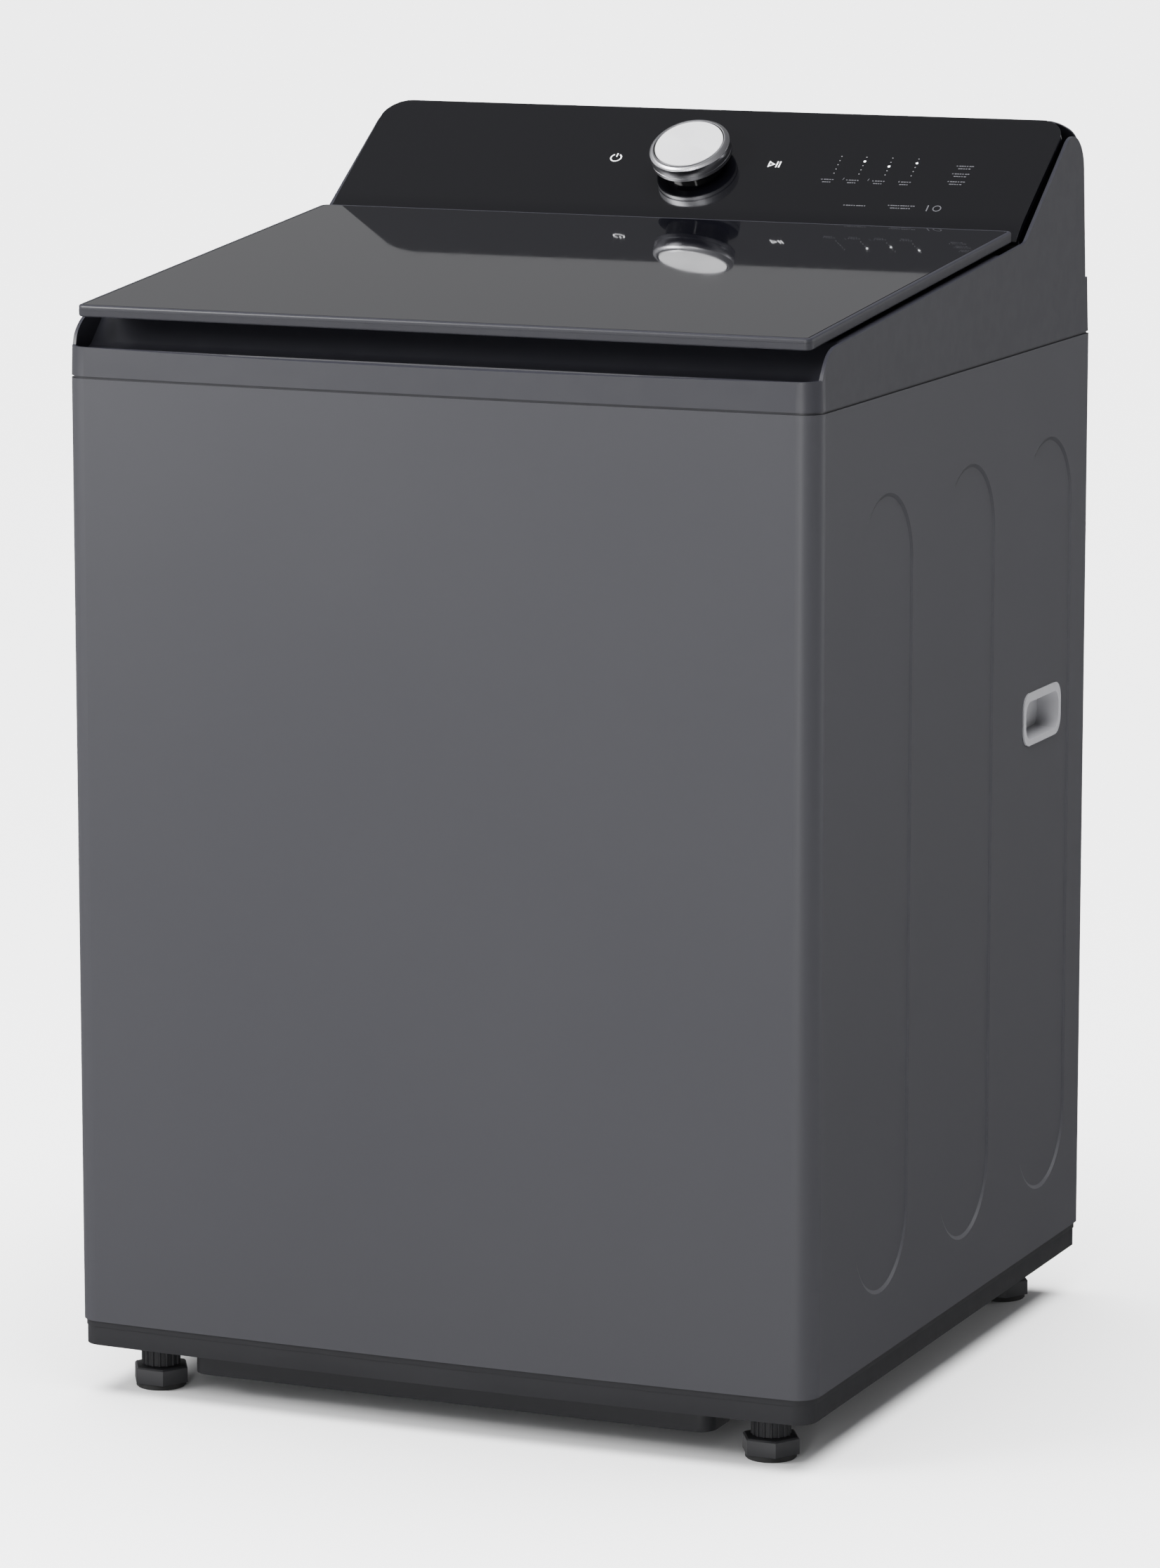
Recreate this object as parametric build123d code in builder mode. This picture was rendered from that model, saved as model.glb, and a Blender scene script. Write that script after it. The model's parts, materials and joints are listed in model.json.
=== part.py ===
"""Top load washing machine: steel cabinet, sloped glass lid, raised console with a turning knob.

Frame: millimetres, +Z up, front towards -Y, origin on the floor under the middle of the machine.
Each function builds one named piece (or one group of identical pieces) and writes it as a STEP file.
"""
from build123d import *
from math import cos, hypot, radians, sin, tan
import os

os.makedirs("parts", exist_ok=True)

# ---- overall -------------------------------------------------------------------------------
HALF_WIDTH = 345.0
BOW_Y = -347.0            # middle of the slightly bowed front
CORNER_Y = -341.0         # front face where it meets the corner rounding
SHELL_BACK_Y = 343.0
BACK_FACE_Y = 347.0       # ribs of the back panel
CORNER_R = 20.0
REAR_CORNER_R = 5.0
SHEET = 1.2

# ---- levels --------------------------------------------------------------------------------
BASE_Z = 44.0             # underside of the base frame
SHELL_BOTTOM_Z = 66.0
SHELL_TOP_Z = 895.0
COVER_Z = 897.0           # bottom edge of the top cover
COVER_H = 200.0
COVER_DRAFT = 1.5         # degrees the cover's walls lean inwards
COVER_WALL = 3.0
COVER_BACK_Y = 341.5

# ---- lid -----------------------------------------------------------------------------------
LID_SLOPE = 5.35
LID_FRONT_Y = -335.0
LID_REAR_Y = 156.0
LID_FRONT_Z = 957.0       # top surface at the front edge
LID_HALF_WIDTH = 336.0
LID_T = 10.0
GLASS_T = 4.0
HINGE_Y = 135.0
HINGE_Z = 981.0
HINGE_X = 302.0
PIN_R = 4.0
RUN_FIT = 0.05            # radial running clearance of pins and shafts

# ---- finger recess, deck and loading well of the top cover -----------------------------------
DECK_DROP = 4.5           # deck below the lid
RECESS_Y = -300.0
RECESS_Z = 917.0
BAND_Z = 922.0            # top of the front band
DECK_FRONT_Y = -270.0
DECK_REAR_Y = 120.0
BAY_FLOOR_Z = 946.0
WELL_HALF_X = 245.0
WELL_FRONT_Y = -240.0
WELL_REAR_Y = 85.0
WELL_BOTTOM_Z = 893.0

# ---- console -------------------------------------------------------------------------------
FACE_ANGLE = 34.5
FACE_Y = 150.0            # where the face plane crosses its reference edge
FACE_Z = 985.0
FACE_LOW = 17.0           # panel's lower edge, along the face from the reference edge
FACE_HIGH = 185.0
PANEL_HALF_WIDTH = 335.0
PANEL_T = 5.0
PANEL_CORNER_R = 25.0
CHEEK_DROP = 6.5          # cheek edge below the panel's face
CONSOLE_BACK_Y = 332.0
KNOB_ALONG = 105.0
KNOB_R = 37.5
KNOB_NECK = 8.0
KNOB_TOP = 24.0

# ---- washing group ---------------------------------------------------------------------------
TUB_Y = -10.0
TUB_R = 290.0
TUB_WALL = 3.0
TUB_BOTTOM_Z = 196.0
TUB_FLOOR = 4.0
TUB_TOP_Z = 848.0
BASKET_R = 272.0
BASKET_WALL = 1.5
BASKET_Z = 214.0
BASKET_TOP_Z = 790.0
RING_TOP_Z = 838.0
MOUTH_R = 228.0
PLATE_R = 238.0
SPIN_SHAFT_R = 22.0
WASH_SHAFT_R = 12.0
ROD_OFFSET = 265.0        # suspension rods from the washing group's axis, in X and in Y
ROD_R = 4.5
ROD_SEAT_Z = 105.0
HANGER_Z = 872.0

# ---- feet, grips, drawer, pump ---------------------------------------------------------------
FOOT_X = 289.0
FOOT_Y = 290.0
PAD_H = 5.0
HEX_TOP_Z = 19.5
STEM_R = 6.0
GRIP_Y = 225.0
GRIP_Z = 562.0
GRIP_W = 100.0
GRIP_H = 48.0
EMBOSS_YS = (-178.0, 28.0, 234.0)
EMBOSS_Z = (122.0, 812.0)
EMBOSS_W = 128.0
DRAWER_X = (-184.0, -26.0)
DRAWER_Z = (897.5, 940.5)
DRAWER_BACK_Y = 236.0
PUMP_X = 200.0
PUMP_Y = -150.0
DRAIN_X = 230.0
DRAIN_Z = 85.0            # pump outlet
PORT_Z = 140.0            # middle of the drain port
SPIGOT_Z = 118.0
VALVE_XS = (-150.0, -98.0)
VALVE_Z = 985.0
CORD_X = 250.0
CORD_Z = 860.0
STRIKER_X = 120.0
STRIKER_Y = -255.0
BOLT_Z = 936.5

FACE_PLANE = Plane(origin=(0, FACE_Y, FACE_Z), x_dir=(1, 0, 0),
                   z_dir=(0, -sin(radians(FACE_ANGLE)), cos(radians(FACE_ANGLE))))
LID_PLANE = Plane(origin=(0, LID_FRONT_Y, LID_FRONT_Z), x_dir=(1, 0, 0),
                  z_dir=(0, -sin(radians(LID_SLOPE)), cos(radians(LID_SLOPE))))
TUB_PLANE = Plane(origin=(0, TUB_Y, 0))
TUB_SECTION = Plane(origin=(0, TUB_Y, 0), x_dir=(1, 0, 0), z_dir=(0, -1, 0))
TUB_AXIS = Axis((0, TUB_Y, 0), (0, 0, 1))
LID_LENGTH = (LID_REAR_Y - LID_FRONT_Y) / cos(radians(LID_SLOPE))


# ---- shared geometry -------------------------------------------------------------------------
def lid_underside(y):
    """Height of the closed lid's underside at depth y."""
    return LID_FRONT_Z - LID_T / cos(radians(LID_SLOPE)) + (y - LID_FRONT_Y) * tan(radians(LID_SLOPE))


def deck_top(y):
    """Height of the deck's top surface at depth y."""
    return lid_underside(y) - DECK_DROP


def on_face(along, proud=0.0):
    """The (y, z) of a point on the console's face, a distance up it and proud of it."""
    a = radians(FACE_ANGLE)
    return (FACE_Y + along * cos(a) - proud * sin(a), FACE_Z + along * sin(a) + proud * cos(a))


def side_plane(side, x):
    """Vertical plane at side * x facing outwards, with local y up; side is +1 or -1."""
    return Plane(origin=(side * x, 0, 0), x_dir=(0, side, 0), z_dir=(side, 0, 0))


def offset_points(points, distance):
    """The open polyline moved sideways, to the right of its direction, with mitred corners."""
    normals = []
    for (x0, y0), (x1, y1) in zip(points, points[1:]):
        length = hypot(x1 - x0, y1 - y0)
        normals.append(((y1 - y0) / length, (x0 - x1) / length))
    moved = []
    for i, (x, y) in enumerate(points):
        before = normals[max(i - 1, 0)]
        after = normals[min(i, len(normals) - 1)]
        mx, my = before[0] + after[0], before[1] + after[1]
        scale = 2 * distance / (mx * mx + my * my)
        moved.append((x + mx * scale, y + my * scale))
    return moved


def strip_face(points, thickness, radii, inner_radii):
    """A sheet seen edge on: a rounded polyline and its copy one thickness to the right."""
    with BuildSketch() as strip:
        with BuildLine():
            outer = FilletPolyline(*points, radius=radii)
            inner = FilletPolyline(*offset_points(points, thickness), radius=inner_radii)
            Line(outer @ 0, inner @ 0)
            Line(outer @ 1, inner @ 1)
        make_face()
    return strip.sketch


def plan_outline(inset, back=SHELL_BACK_Y):
    """Plan of the cabinet: bowed front, straight sides and back, rounded corners."""
    right = HALF_WIDTH - inset
    front = CORNER_Y + inset
    rear = back - inset
    with BuildSketch() as plan:
        with BuildLine():
            ThreePointArc((-right, front), (0, BOW_Y + inset), (right, front))
            Polyline((right, front), (right, rear), (-right, rear), (-right, front))
        make_face()
        fillet(plan.vertices().group_by(Axis.Y)[0], radius=CORNER_R - inset)
        fillet(plan.vertices().group_by(Axis.Y)[-1], radius=REAR_CORNER_R)
    return plan.sketch


def well_outline(margin):
    """Plan of the loading well: a rounded rectangle, grown outwards by margin."""
    depth = WELL_REAR_Y - WELL_FRONT_Y
    middle = (WELL_REAR_Y + WELL_FRONT_Y) / 2
    with BuildSketch() as well:
        with Locations((0, middle)):
            Rectangle(2 * (WELL_HALF_X + margin), depth + 2 * margin)
        fillet(well.vertices().group_by(Axis.Y)[0], radius=100 + margin)
        fillet(well.vertices().group_by(Axis.Y)[-1], radius=50 + margin)
    return well.sketch


def rod_points():
    """Plan positions of the suspension rods."""
    return [(sx * ROD_OFFSET, TUB_Y + sy * ROD_OFFSET) for sx in (-1, 1) for sy in (-1, 1)]


def foot_points():
    """Plan positions of the levelling feet."""
    return [(sx * FOOT_X, sy * FOOT_Y) for sx in (-1, 1) for sy in (-1, 1)]


def back_screw_points():
    """Positions (x, z) of the back panel's screws."""
    sides = [(sx * 333.0, z) for sx in (-1, 1) for z in (90.0, 300.0, 510.0, 720.0, 880.0)]
    return sides


# ---- cabinet ---------------------------------------------------------------------------------
def build_cabinet_shell():
    """Wrapped sheet steel: front and both sides in one, with flanges at the back."""
    depth = 1.5
    taper = 65
    slot_h = EMBOSS_Z[1] - EMBOSS_Z[0]
    slot_z = (EMBOSS_Z[1] + EMBOSS_Z[0]) / 2
    with BuildPart() as cabinet_shell:
        with BuildSketch(Plane.XY.offset(SHELL_BOTTOM_Z)):
            add(plan_outline(0))
            add(plan_outline(SHEET), mode=Mode.SUBTRACT)
            with Locations((0, SHELL_BACK_Y)):
                Rectangle(2 * (HALF_WIDTH - 22), 10, mode=Mode.SUBTRACT)
        extrude(amount=SHELL_TOP_Z - SHELL_BOTTOM_Z)
        for side in (-1, 1):
            slots = [(side * y, slot_z) for y in EMBOSS_YS]
            with BuildSketch(side_plane(side, HALF_WIDTH - SHEET)):
                with Locations(*slots):
                    SlotOverall(slot_h, EMBOSS_W, rotation=90)
            extrude(amount=-depth, taper=taper)
            with BuildSketch(side_plane(side, HALF_WIDTH)):
                with Locations(*slots):
                    SlotOverall(slot_h, EMBOSS_W, rotation=90)
            extrude(amount=-depth, taper=taper, mode=Mode.SUBTRACT)
            with BuildSketch(side_plane(side, HALF_WIDTH)):
                with Locations((side * GRIP_Y, GRIP_Z)):
                    RectangleRounded(GRIP_W + 0.6, GRIP_H + 0.6, 16.3)
            extrude(amount=-6, mode=Mode.SUBTRACT)
        with BuildSketch(Plane.XZ.offset(-SHELL_BACK_Y)):
            with Locations(*back_screw_points()):
                Circle(2.1)
        extrude(amount=3, mode=Mode.SUBTRACT)
    cabinet_shell.part.label = "cabinet_shell"
    export_step(cabinet_shell.part, "parts/cabinet_shell.step")


def build_back_panel():
    """Pressed steel back with raised stiffening panels, a drain port and a cord hole."""
    rib = BACK_FACE_Y - SHELL_BACK_Y - SHEET
    half_x = 341.0
    top_z = 944.0
    bottom_z = SHELL_BOTTOM_Z + 2
    ribs = [(-215, 500), (0, 500), (215, 560)]
    rib_heights = (760, 760, 560)
    plane = Plane.XZ.offset(-SHELL_BACK_Y)
    with BuildPart() as back_panel:
        with BuildSketch(plane):
            with Locations((0, (top_z + bottom_z) / 2)):
                RectangleRounded(2 * half_x, top_z - bottom_z, 6)
        extrude(amount=-SHEET)
        for (x, z), height in zip(ribs, rib_heights):
            with BuildSketch(plane.offset(-SHEET)):
                with Locations((x, z)):
                    RectangleRounded(150, height, 24)
            extrude(amount=-rib, taper=45)
            with BuildSketch(plane):
                with Locations((x, z)):
                    RectangleRounded(150, height, 24)
            extrude(amount=-rib, taper=45, mode=Mode.SUBTRACT)
        with BuildSketch(plane):
            with Locations(*back_screw_points()):
                Circle(2.1)
            with Locations((DRAIN_X, PORT_Z)):
                RectangleRounded(70.6, 90.6, 12.3)
            with Locations((CORD_X, CORD_Z)):
                Circle(11.1)
        extrude(amount=-10, mode=Mode.SUBTRACT)
    back_panel.part.label = "back_panel"
    export_step(back_panel.part, "parts/back_panel.step")


def build_back_screws():
    """Pan-head screws that hold the back panel to the shell's flanges."""
    plane = Plane.XZ.offset(-(SHELL_BACK_Y + SHEET))
    with BuildPart() as back_screws:
        with BuildSketch(plane):
            with Locations(*back_screw_points()):
                Circle(4.5)
        extrude(amount=-2)
        fillet(back_screws.faces().group_by(Axis.Y)[-1].edges(), radius=1.2)
        with BuildSketch(plane):
            with Locations(*back_screw_points()):
                Circle(2.0)
        extrude(amount=7)
        with BuildSketch(plane.offset(-2)):
            with Locations(*back_screw_points()):
                Rectangle(5, 1)
                Rectangle(1, 5)
        extrude(amount=1, mode=Mode.SUBTRACT)
    back_screws.part.label = "back_screws"
    export_step(back_screws.part, "parts/back_screws.step")


def build_base_frame():
    """Moulded base: visible plinth band, flange up inside the shell, foot bosses and pump rail."""
    rail = 46.0
    band_top = SHELL_BOTTOM_Z - 2.5
    inner_x = HALF_WIDTH - rail
    inner_y = FOOT_Y + 6
    with BuildPart() as base_frame:
        with BuildSketch(Plane.XY.offset(BASE_Z)):
            add(plan_outline(2.5))
            Rectangle(2 * inner_x, 2 * (inner_y - 16), mode=Mode.SUBTRACT)
            with Locations((PUMP_X + 12, 0)):
                Rectangle(104, 2 * inner_y)
        extrude(amount=4)
        with BuildSketch(Plane.XY.offset(BASE_Z)):
            add(plan_outline(2.5))
            add(plan_outline(5.5), mode=Mode.SUBTRACT)
        extrude(amount=band_top - BASE_Z)
        with BuildSketch(Plane.XY.offset(band_top - 3)):
            add(plan_outline(SHEET + 0.6))
            add(plan_outline(5.5), mode=Mode.SUBTRACT)
        extrude(amount=3)
        with BuildSketch(Plane.XY.offset(band_top - 3)):
            add(plan_outline(SHEET + 0.6))
            add(plan_outline(SHEET + 3.1), mode=Mode.SUBTRACT)
        extrude(amount=25)
        with BuildSketch(Plane.XY.offset(BASE_Z)):
            with Locations(*foot_points()):
                Circle(24)
        extrude(amount=22)
        with BuildSketch(Plane.XY.offset(BASE_Z)):
            with Locations(*foot_points()):
                Circle(STEM_R + RUN_FIT)
        extrude(amount=30, mode=Mode.SUBTRACT)
    base_frame.part.label = "base_frame"
    export_step(base_frame.part, "parts/base_frame.step")


def build_front_skirt():
    """Set-back kick strip under the front of the base, with returned ends."""
    half = 245.0
    front = -318.0
    with BuildPart() as front_skirt:
        with BuildSketch(Plane.XY.offset(22)):
            with BuildLine():
                FilletPolyline((-half, front + 45), (-half, front), (half, front), (half, front + 45),
                               radius=14)
                FilletPolyline((-half + 3, front + 45), (-half + 3, front + 3), (half - 3, front + 3),
                               (half - 3, front + 45), radius=11)
                Line((-half, front + 45), (-half + 3, front + 45))
                Line((half, front + 45), (half - 3, front + 45))
            make_face()
        extrude(amount=BASE_Z - 22)
    front_skirt.part.label = "front_skirt"
    export_step(front_skirt.part, "parts/front_skirt.step")


def build_feet():
    """Four levelling feet: rubber pad, hexagonal cup and threaded stem; each foot is one node."""
    names = ("rear_left", "rear_right", "front_left", "front_right")
    places = ((-FOOT_X, FOOT_Y), (FOOT_X, FOOT_Y), (-FOOT_X, -FOOT_Y), (FOOT_X, -FOOT_Y))
    for name, (x, y) in zip(names, places):
        at_foot = Plane(origin=(x, y, 0))
        with BuildPart() as foot:
            with BuildSketch(at_foot.offset(PAD_H)):
                RegularPolygon(26, 6)
            extrude(amount=HEX_TOP_Z - PAD_H)
            chamfer(foot.edges().group_by(Axis.Z)[-1], length=1.5)
            with BuildSketch(at_foot.offset(HEX_TOP_Z)):
                Circle(STEM_R)
            extrude(amount=52)
        foot.part.label = f"foot_{name}"
        export_step(foot.part, f"parts/foot_{name}.step")
        with BuildPart() as pad:
            with BuildSketch(at_foot):
                Circle(22)
            extrude(amount=PAD_H)
            chamfer(pad.edges().group_by(Axis.Z)[0], length=1)
            with BuildSketch(at_foot):
                with PolarLocations(11, 6):
                    Circle(2)
            extrude(amount=1.5, mode=Mode.SUBTRACT)
        pad.part.label = f"foot_pad_{name}"
        export_step(pad.part, f"parts/foot_pad_{name}.step")


def build_foot_lock_nuts():
    """Ribbed lock collars that sit against the base around each stem."""
    with BuildPart() as foot_lock_nuts:
        for x, y in foot_points():
            with BuildSketch(Plane(origin=(x, y, HEX_TOP_Z + 1))):
                Circle(16)
                with PolarLocations(16, 16):
                    Circle(1.2)
                Circle(STEM_R + RUN_FIT, mode=Mode.SUBTRACT)
            extrude(amount=BASE_Z - HEX_TOP_Z - 1)
    foot_lock_nuts.part.label = "foot_lock_nuts"
    export_step(foot_lock_nuts.part, "parts/foot_lock_nuts.step")


def build_grips():
    """Moulded hand grips let into both sides."""
    depth = 22.0
    for name, side in (("left_grip", -1), ("right_grip", 1)):
        with BuildPart() as grip:
            with BuildSketch(side_plane(side, HALF_WIDTH)):
                with Locations((side * GRIP_Y, GRIP_Z)):
                    RectangleRounded(GRIP_W, GRIP_H, 16)
            extrude(amount=-depth, taper=6)
            with BuildSketch(side_plane(side, HALF_WIDTH)):
                with Locations((side * GRIP_Y, GRIP_Z - 1)):
                    RectangleRounded(GRIP_W - 12, GRIP_H - 14, 12)
            extrude(amount=-(depth - 2), taper=5, mode=Mode.SUBTRACT)
        grip.part.label = name
        export_step(grip.part, f"parts/{name}.step")


# ---- top cover -------------------------------------------------------------------------------
def wall_profile():
    """Side view of the cover's walls: rounded front, edge parallel to the lid, console cheek."""
    edge_gap = 3.0
    slope = tan(radians(LID_SLOPE))
    face = tan(radians(FACE_ANGLE))
    cheek_z = FACE_Z - CHEEK_DROP / cos(radians(FACE_ANGLE))
    foot_y = FACE_Y + (lid_underside(FACE_Y) - edge_gap - cheek_z) / (face - slope)
    peak_z = cheek_z + (CONSOLE_BACK_Y - FACE_Y) * face
    arc_start = (-327.0, BAND_Z + 0.5)
    arc_end = (-296.0, lid_underside(-296.0) - edge_gap)
    with BuildSketch() as profile:
        with BuildLine():
            Polyline((-360, COVER_Z), (-360, BAND_Z - 7), (-346, BAND_Z - 2.5), (-341, BAND_Z),
                     arc_start)
            ThreePointArc(arc_start, (-319.0, 936.5), arc_end)
            Polyline(arc_end, (foot_y, lid_underside(foot_y) - edge_gap), (CONSOLE_BACK_Y, peak_z),
                     (CONSOLE_BACK_Y, BAY_FLOOR_Z), (360, BAY_FLOOR_Z), (360, COVER_Z), (-360, COVER_Z))
        make_face()
        fillet(profile.vertices().sort_by(Axis.Y)[-1], radius=30)
        fillet(profile.vertices().sort_by_distance((foot_y, lid_underside(foot_y)))[0], radius=14)
    return profile.sketch


def build_top_cover():
    """One moulding: front band, finger recess, sloped deck, loading well, side cheeks, console bay."""
    below = 12.0
    with BuildPart() as cover_walls:
        with BuildSketch(Plane.XY.offset(COVER_Z)):
            add(plan_outline(0, COVER_BACK_Y))
        extrude(amount=COVER_H, taper=COVER_DRAFT)
        with BuildSketch(Plane.XY.offset(COVER_Z)):
            add(plan_outline(COVER_WALL, COVER_BACK_Y))
        extrude(amount=COVER_H, taper=COVER_DRAFT, mode=Mode.SUBTRACT)
        with BuildSketch(Plane.YZ):
            add(wall_profile())
        extrude(amount=HALF_WIDTH + 5, both=True, mode=Mode.INTERSECT)

    deck_points = [(-343, BAND_Z), (RECESS_Y, RECESS_Z), (DECK_FRONT_Y, deck_top(DECK_FRONT_Y)),
                   (DECK_REAR_Y, deck_top(DECK_REAR_Y)), (DECK_REAR_Y + 4, BAY_FLOOR_Z),
                   (COVER_BACK_Y - 1, BAY_FLOOR_Z)]
    with BuildPart() as deck:
        with BuildSketch(Plane.YZ):
            add(strip_face(deck_points, COVER_WALL, (15, 8, 4, 2), (18, 5, 1, 5)))
        extrude(amount=HALF_WIDTH, both=True)
        with BuildSketch(Plane.XY.offset(COVER_Z)):
            add(plan_outline(1.5, COVER_BACK_Y))
        extrude(amount=COVER_H, taper=COVER_DRAFT, mode=Mode.INTERSECT)

    with BuildPart() as well:
        with BuildSketch(Plane.XY.offset(WELL_BOTTOM_Z)):
            add(well_outline(COVER_WALL))
            add(well_outline(0), mode=Mode.SUBTRACT)
        extrude(amount=120)
        with BuildSketch(Plane.YZ):
            Polygon((-400, deck_top(-400) - 1), (400, deck_top(400) - 1), (400, 1200), (-400, 1200),
                    align=None)
        extrude(amount=HALF_WIDTH, both=True, mode=Mode.SUBTRACT)

    with BuildPart() as lip:
        with BuildSketch(Plane.XY.offset(COVER_Z - below)):
            add(plan_outline(SHEET + 0.6, COVER_BACK_Y))
            add(plan_outline(COVER_WALL + 1.2, COVER_BACK_Y), mode=Mode.SUBTRACT)
        extrude(amount=below + 2)

    with BuildPart() as top_cover:
        add(deck.part)
        with BuildSketch(Plane.XY.offset(WELL_BOTTOM_Z)):
            add(well_outline(0.5))
        extrude(amount=120, mode=Mode.SUBTRACT)
        add(cover_walls.part)
        add(well.part)
        add(lip.part)
        with BuildSketch(Plane.XY.offset(BAY_FLOOR_Z - 1)):
            with Locations((0, 174)):
                Rectangle(2 * PANEL_HALF_WIDTH, 3)
        extrude(amount=992 - BAY_FLOOR_Z + 1)
        drawer_mid = (DRAWER_X[0] + DRAWER_X[1]) / 2
        with BuildSketch(Plane.XZ.offset(-WELL_REAR_Y + 3)):
            with Locations((drawer_mid, (DRAWER_Z[0] + DRAWER_Z[1]) / 2)):
                Rectangle(DRAWER_X[1] - DRAWER_X[0] + 2, DRAWER_Z[1] - DRAWER_Z[0] + 2)
        extrude(amount=-10, mode=Mode.SUBTRACT)
        with BuildSketch(Plane.XY.offset(BAY_FLOOR_Z - 10)):
            with Locations(*[(x, 228) for x in VALVE_XS]):
                Circle(9)
        extrude(amount=20, mode=Mode.SUBTRACT)
        with BuildSketch(Plane.XY.offset(deck_top(STRIKER_Y) - 10)):
            with Locations((STRIKER_X, STRIKER_Y)):
                Rectangle(8, 18)
        extrude(amount=20, mode=Mode.SUBTRACT)
    top_cover.part.label = "top_cover"
    export_step(top_cover.part, "parts/top_cover.step")


def build_console_panel():
    """Sloped control panel: a thick gloss slab with rounded upper corners and a knob hole."""
    with BuildPart() as console_panel:
        with BuildSketch(FACE_PLANE):
            with Locations((0, (FACE_LOW + FACE_HIGH) / 2)):
                outline = Rectangle(2 * PANEL_HALF_WIDTH, FACE_HIGH - FACE_LOW)
            fillet(outline.vertices().group_by(Axis.Y)[-1], radius=PANEL_CORNER_R)
            with Locations((0, KNOB_ALONG)):
                Circle(14, mode=Mode.SUBTRACT)
        extrude(amount=-PANEL_T)
        front = console_panel.faces().sort_by(Axis((0, 0, 0), FACE_PLANE.z_dir))[-1]
        fillet(front.outer_wire().edges(), radius=1.2)
    console_panel.part.label = "console_panel"
    export_step(console_panel.part, "parts/console_panel.step")


def build_console_back_cover():
    """Back and top of the console, with openings for the inlet spigots."""
    top = on_face(FACE_HIGH + 3, -4.0)
    points = [top, (CONSOLE_BACK_Y, top[1] - 14.5), (CONSOLE_BACK_Y, BAY_FLOOR_Z)]
    with BuildPart() as console_back_cover:
        with BuildSketch(Plane.YZ):
            add(strip_face(points, 2.5, 24, 21.5))
        extrude(amount=PANEL_HALF_WIDTH, both=True)
        with BuildSketch(Plane.XZ.offset(-200)):
            with Locations((0, 1000)):
                corner = Rectangle(2 * PANEL_HALF_WIDTH, 2 * (top[1] - 1000))
            fillet(corner.vertices().group_by(Axis.Y)[-1], radius=20)
        extrude(amount=-200, mode=Mode.INTERSECT)
        with BuildSketch(Plane.XZ.offset(-CONSOLE_BACK_Y)):
            with Locations(*[(x, VALVE_Z) for x in VALVE_XS]):
                Circle(14.5)
            with Locations(*[(160 + 14 * i, 1000) for i in range(8)]):
                SlotOverall(44, 5, rotation=90)
        extrude(amount=6, both=True, mode=Mode.SUBTRACT)
    console_back_cover.part.label = "console_back_cover"
    export_step(console_back_cover.part, "parts/console_back_cover.step")


def build_lid_brackets():
    """Two forked brackets on the bay floor that carry the lid's hinge pins."""
    ear = 5.0
    gap = 15.0
    with BuildPart() as lid_brackets:
        for side in (-1, 1):
            for inner in (-1, 1):
                x = side * HINGE_X + inner * (gap + ear) / 2
                with BuildSketch(Plane.YZ.offset(x - ear / 2)):
                    with Locations((HINGE_Y, HINGE_Z)):
                        Circle(8)
                    with Locations((HINGE_Y, (HINGE_Z + BAY_FLOOR_Z) / 2)):
                        Rectangle(16, HINGE_Z - BAY_FLOOR_Z)
                    with Locations((HINGE_Y, HINGE_Z)):
                        Circle(PIN_R + RUN_FIT, mode=Mode.SUBTRACT)
                extrude(amount=ear)
            with BuildSketch(Plane.XY.offset(BAY_FLOOR_Z)):
                with Locations((side * HINGE_X, HINGE_Y + 4)):
                    RectangleRounded(40, 22, 3)
            extrude(amount=4)
    lid_brackets.part.label = "lid_brackets"
    export_step(lid_brackets.part, "parts/lid_brackets.step")


def build_lid_bumpers():
    """Soft stops on the deck's front rim, just under the closed lid."""
    along = (DECK_FRONT_Y + 14 - LID_FRONT_Y) / cos(radians(LID_SLOPE))
    drop = DECK_DROP * cos(radians(LID_SLOPE))
    with BuildPart() as lid_bumpers:
        with BuildSketch(LID_PLANE.offset(-LID_T - drop)):
            with Locations((-222, along), (222, along)):
                Circle(6)
        extrude(amount=drop - 0.5, taper=12)
    lid_bumpers.part.label = "lid_bumpers"
    export_step(lid_bumpers.part, "parts/lid_bumpers.step")


def build_lid_lock():
    """Lock housing under the deck and the bolt that slides through the striker."""
    start_x = STRIKER_X + 6.5
    with BuildPart() as lid_lock_housing:
        with BuildSketch(Plane.XY.offset(BOLT_Z - 14)):
            with Locations((start_x + 30, STRIKER_Y)):
                RectangleRounded(60, 17, 3)
        extrude(amount=23)
        with BuildSketch(Plane.YZ.offset(start_x)):
            with Locations((STRIKER_Y, BOLT_Z)):
                Rectangle(5.6, 5.6)
        extrude(amount=50, mode=Mode.SUBTRACT)
    lid_lock_housing.part.label = "lid_lock_housing"
    export_step(lid_lock_housing.part, "parts/lid_lock_housing.step")
    with BuildPart() as lid_lock_bolt:
        with BuildSketch(Plane.YZ.offset(start_x - 2)):
            with Locations((STRIKER_Y, BOLT_Z)):
                Rectangle(5, 5)
        extrude(amount=40)
        chamfer(lid_lock_bolt.edges().group_by(Axis.X)[0], length=1)
    lid_lock_bolt.part.label = "lid_lock_bolt"
    export_step(lid_lock_bolt.part, "parts/lid_lock_bolt.step")


# ---- lid -------------------------------------------------------------------------------------
def lid_outline(inset):
    """Plan of the lid on its own plane: rounded rectangle from the front edge to the rear edge."""
    with BuildSketch() as outline:
        with Locations((0, LID_LENGTH / 2)):
            RectangleRounded(2 * (LID_HALF_WIDTH - inset), LID_LENGTH - 2 * inset, 7 - inset / 2)
    return outline.sketch


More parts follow.
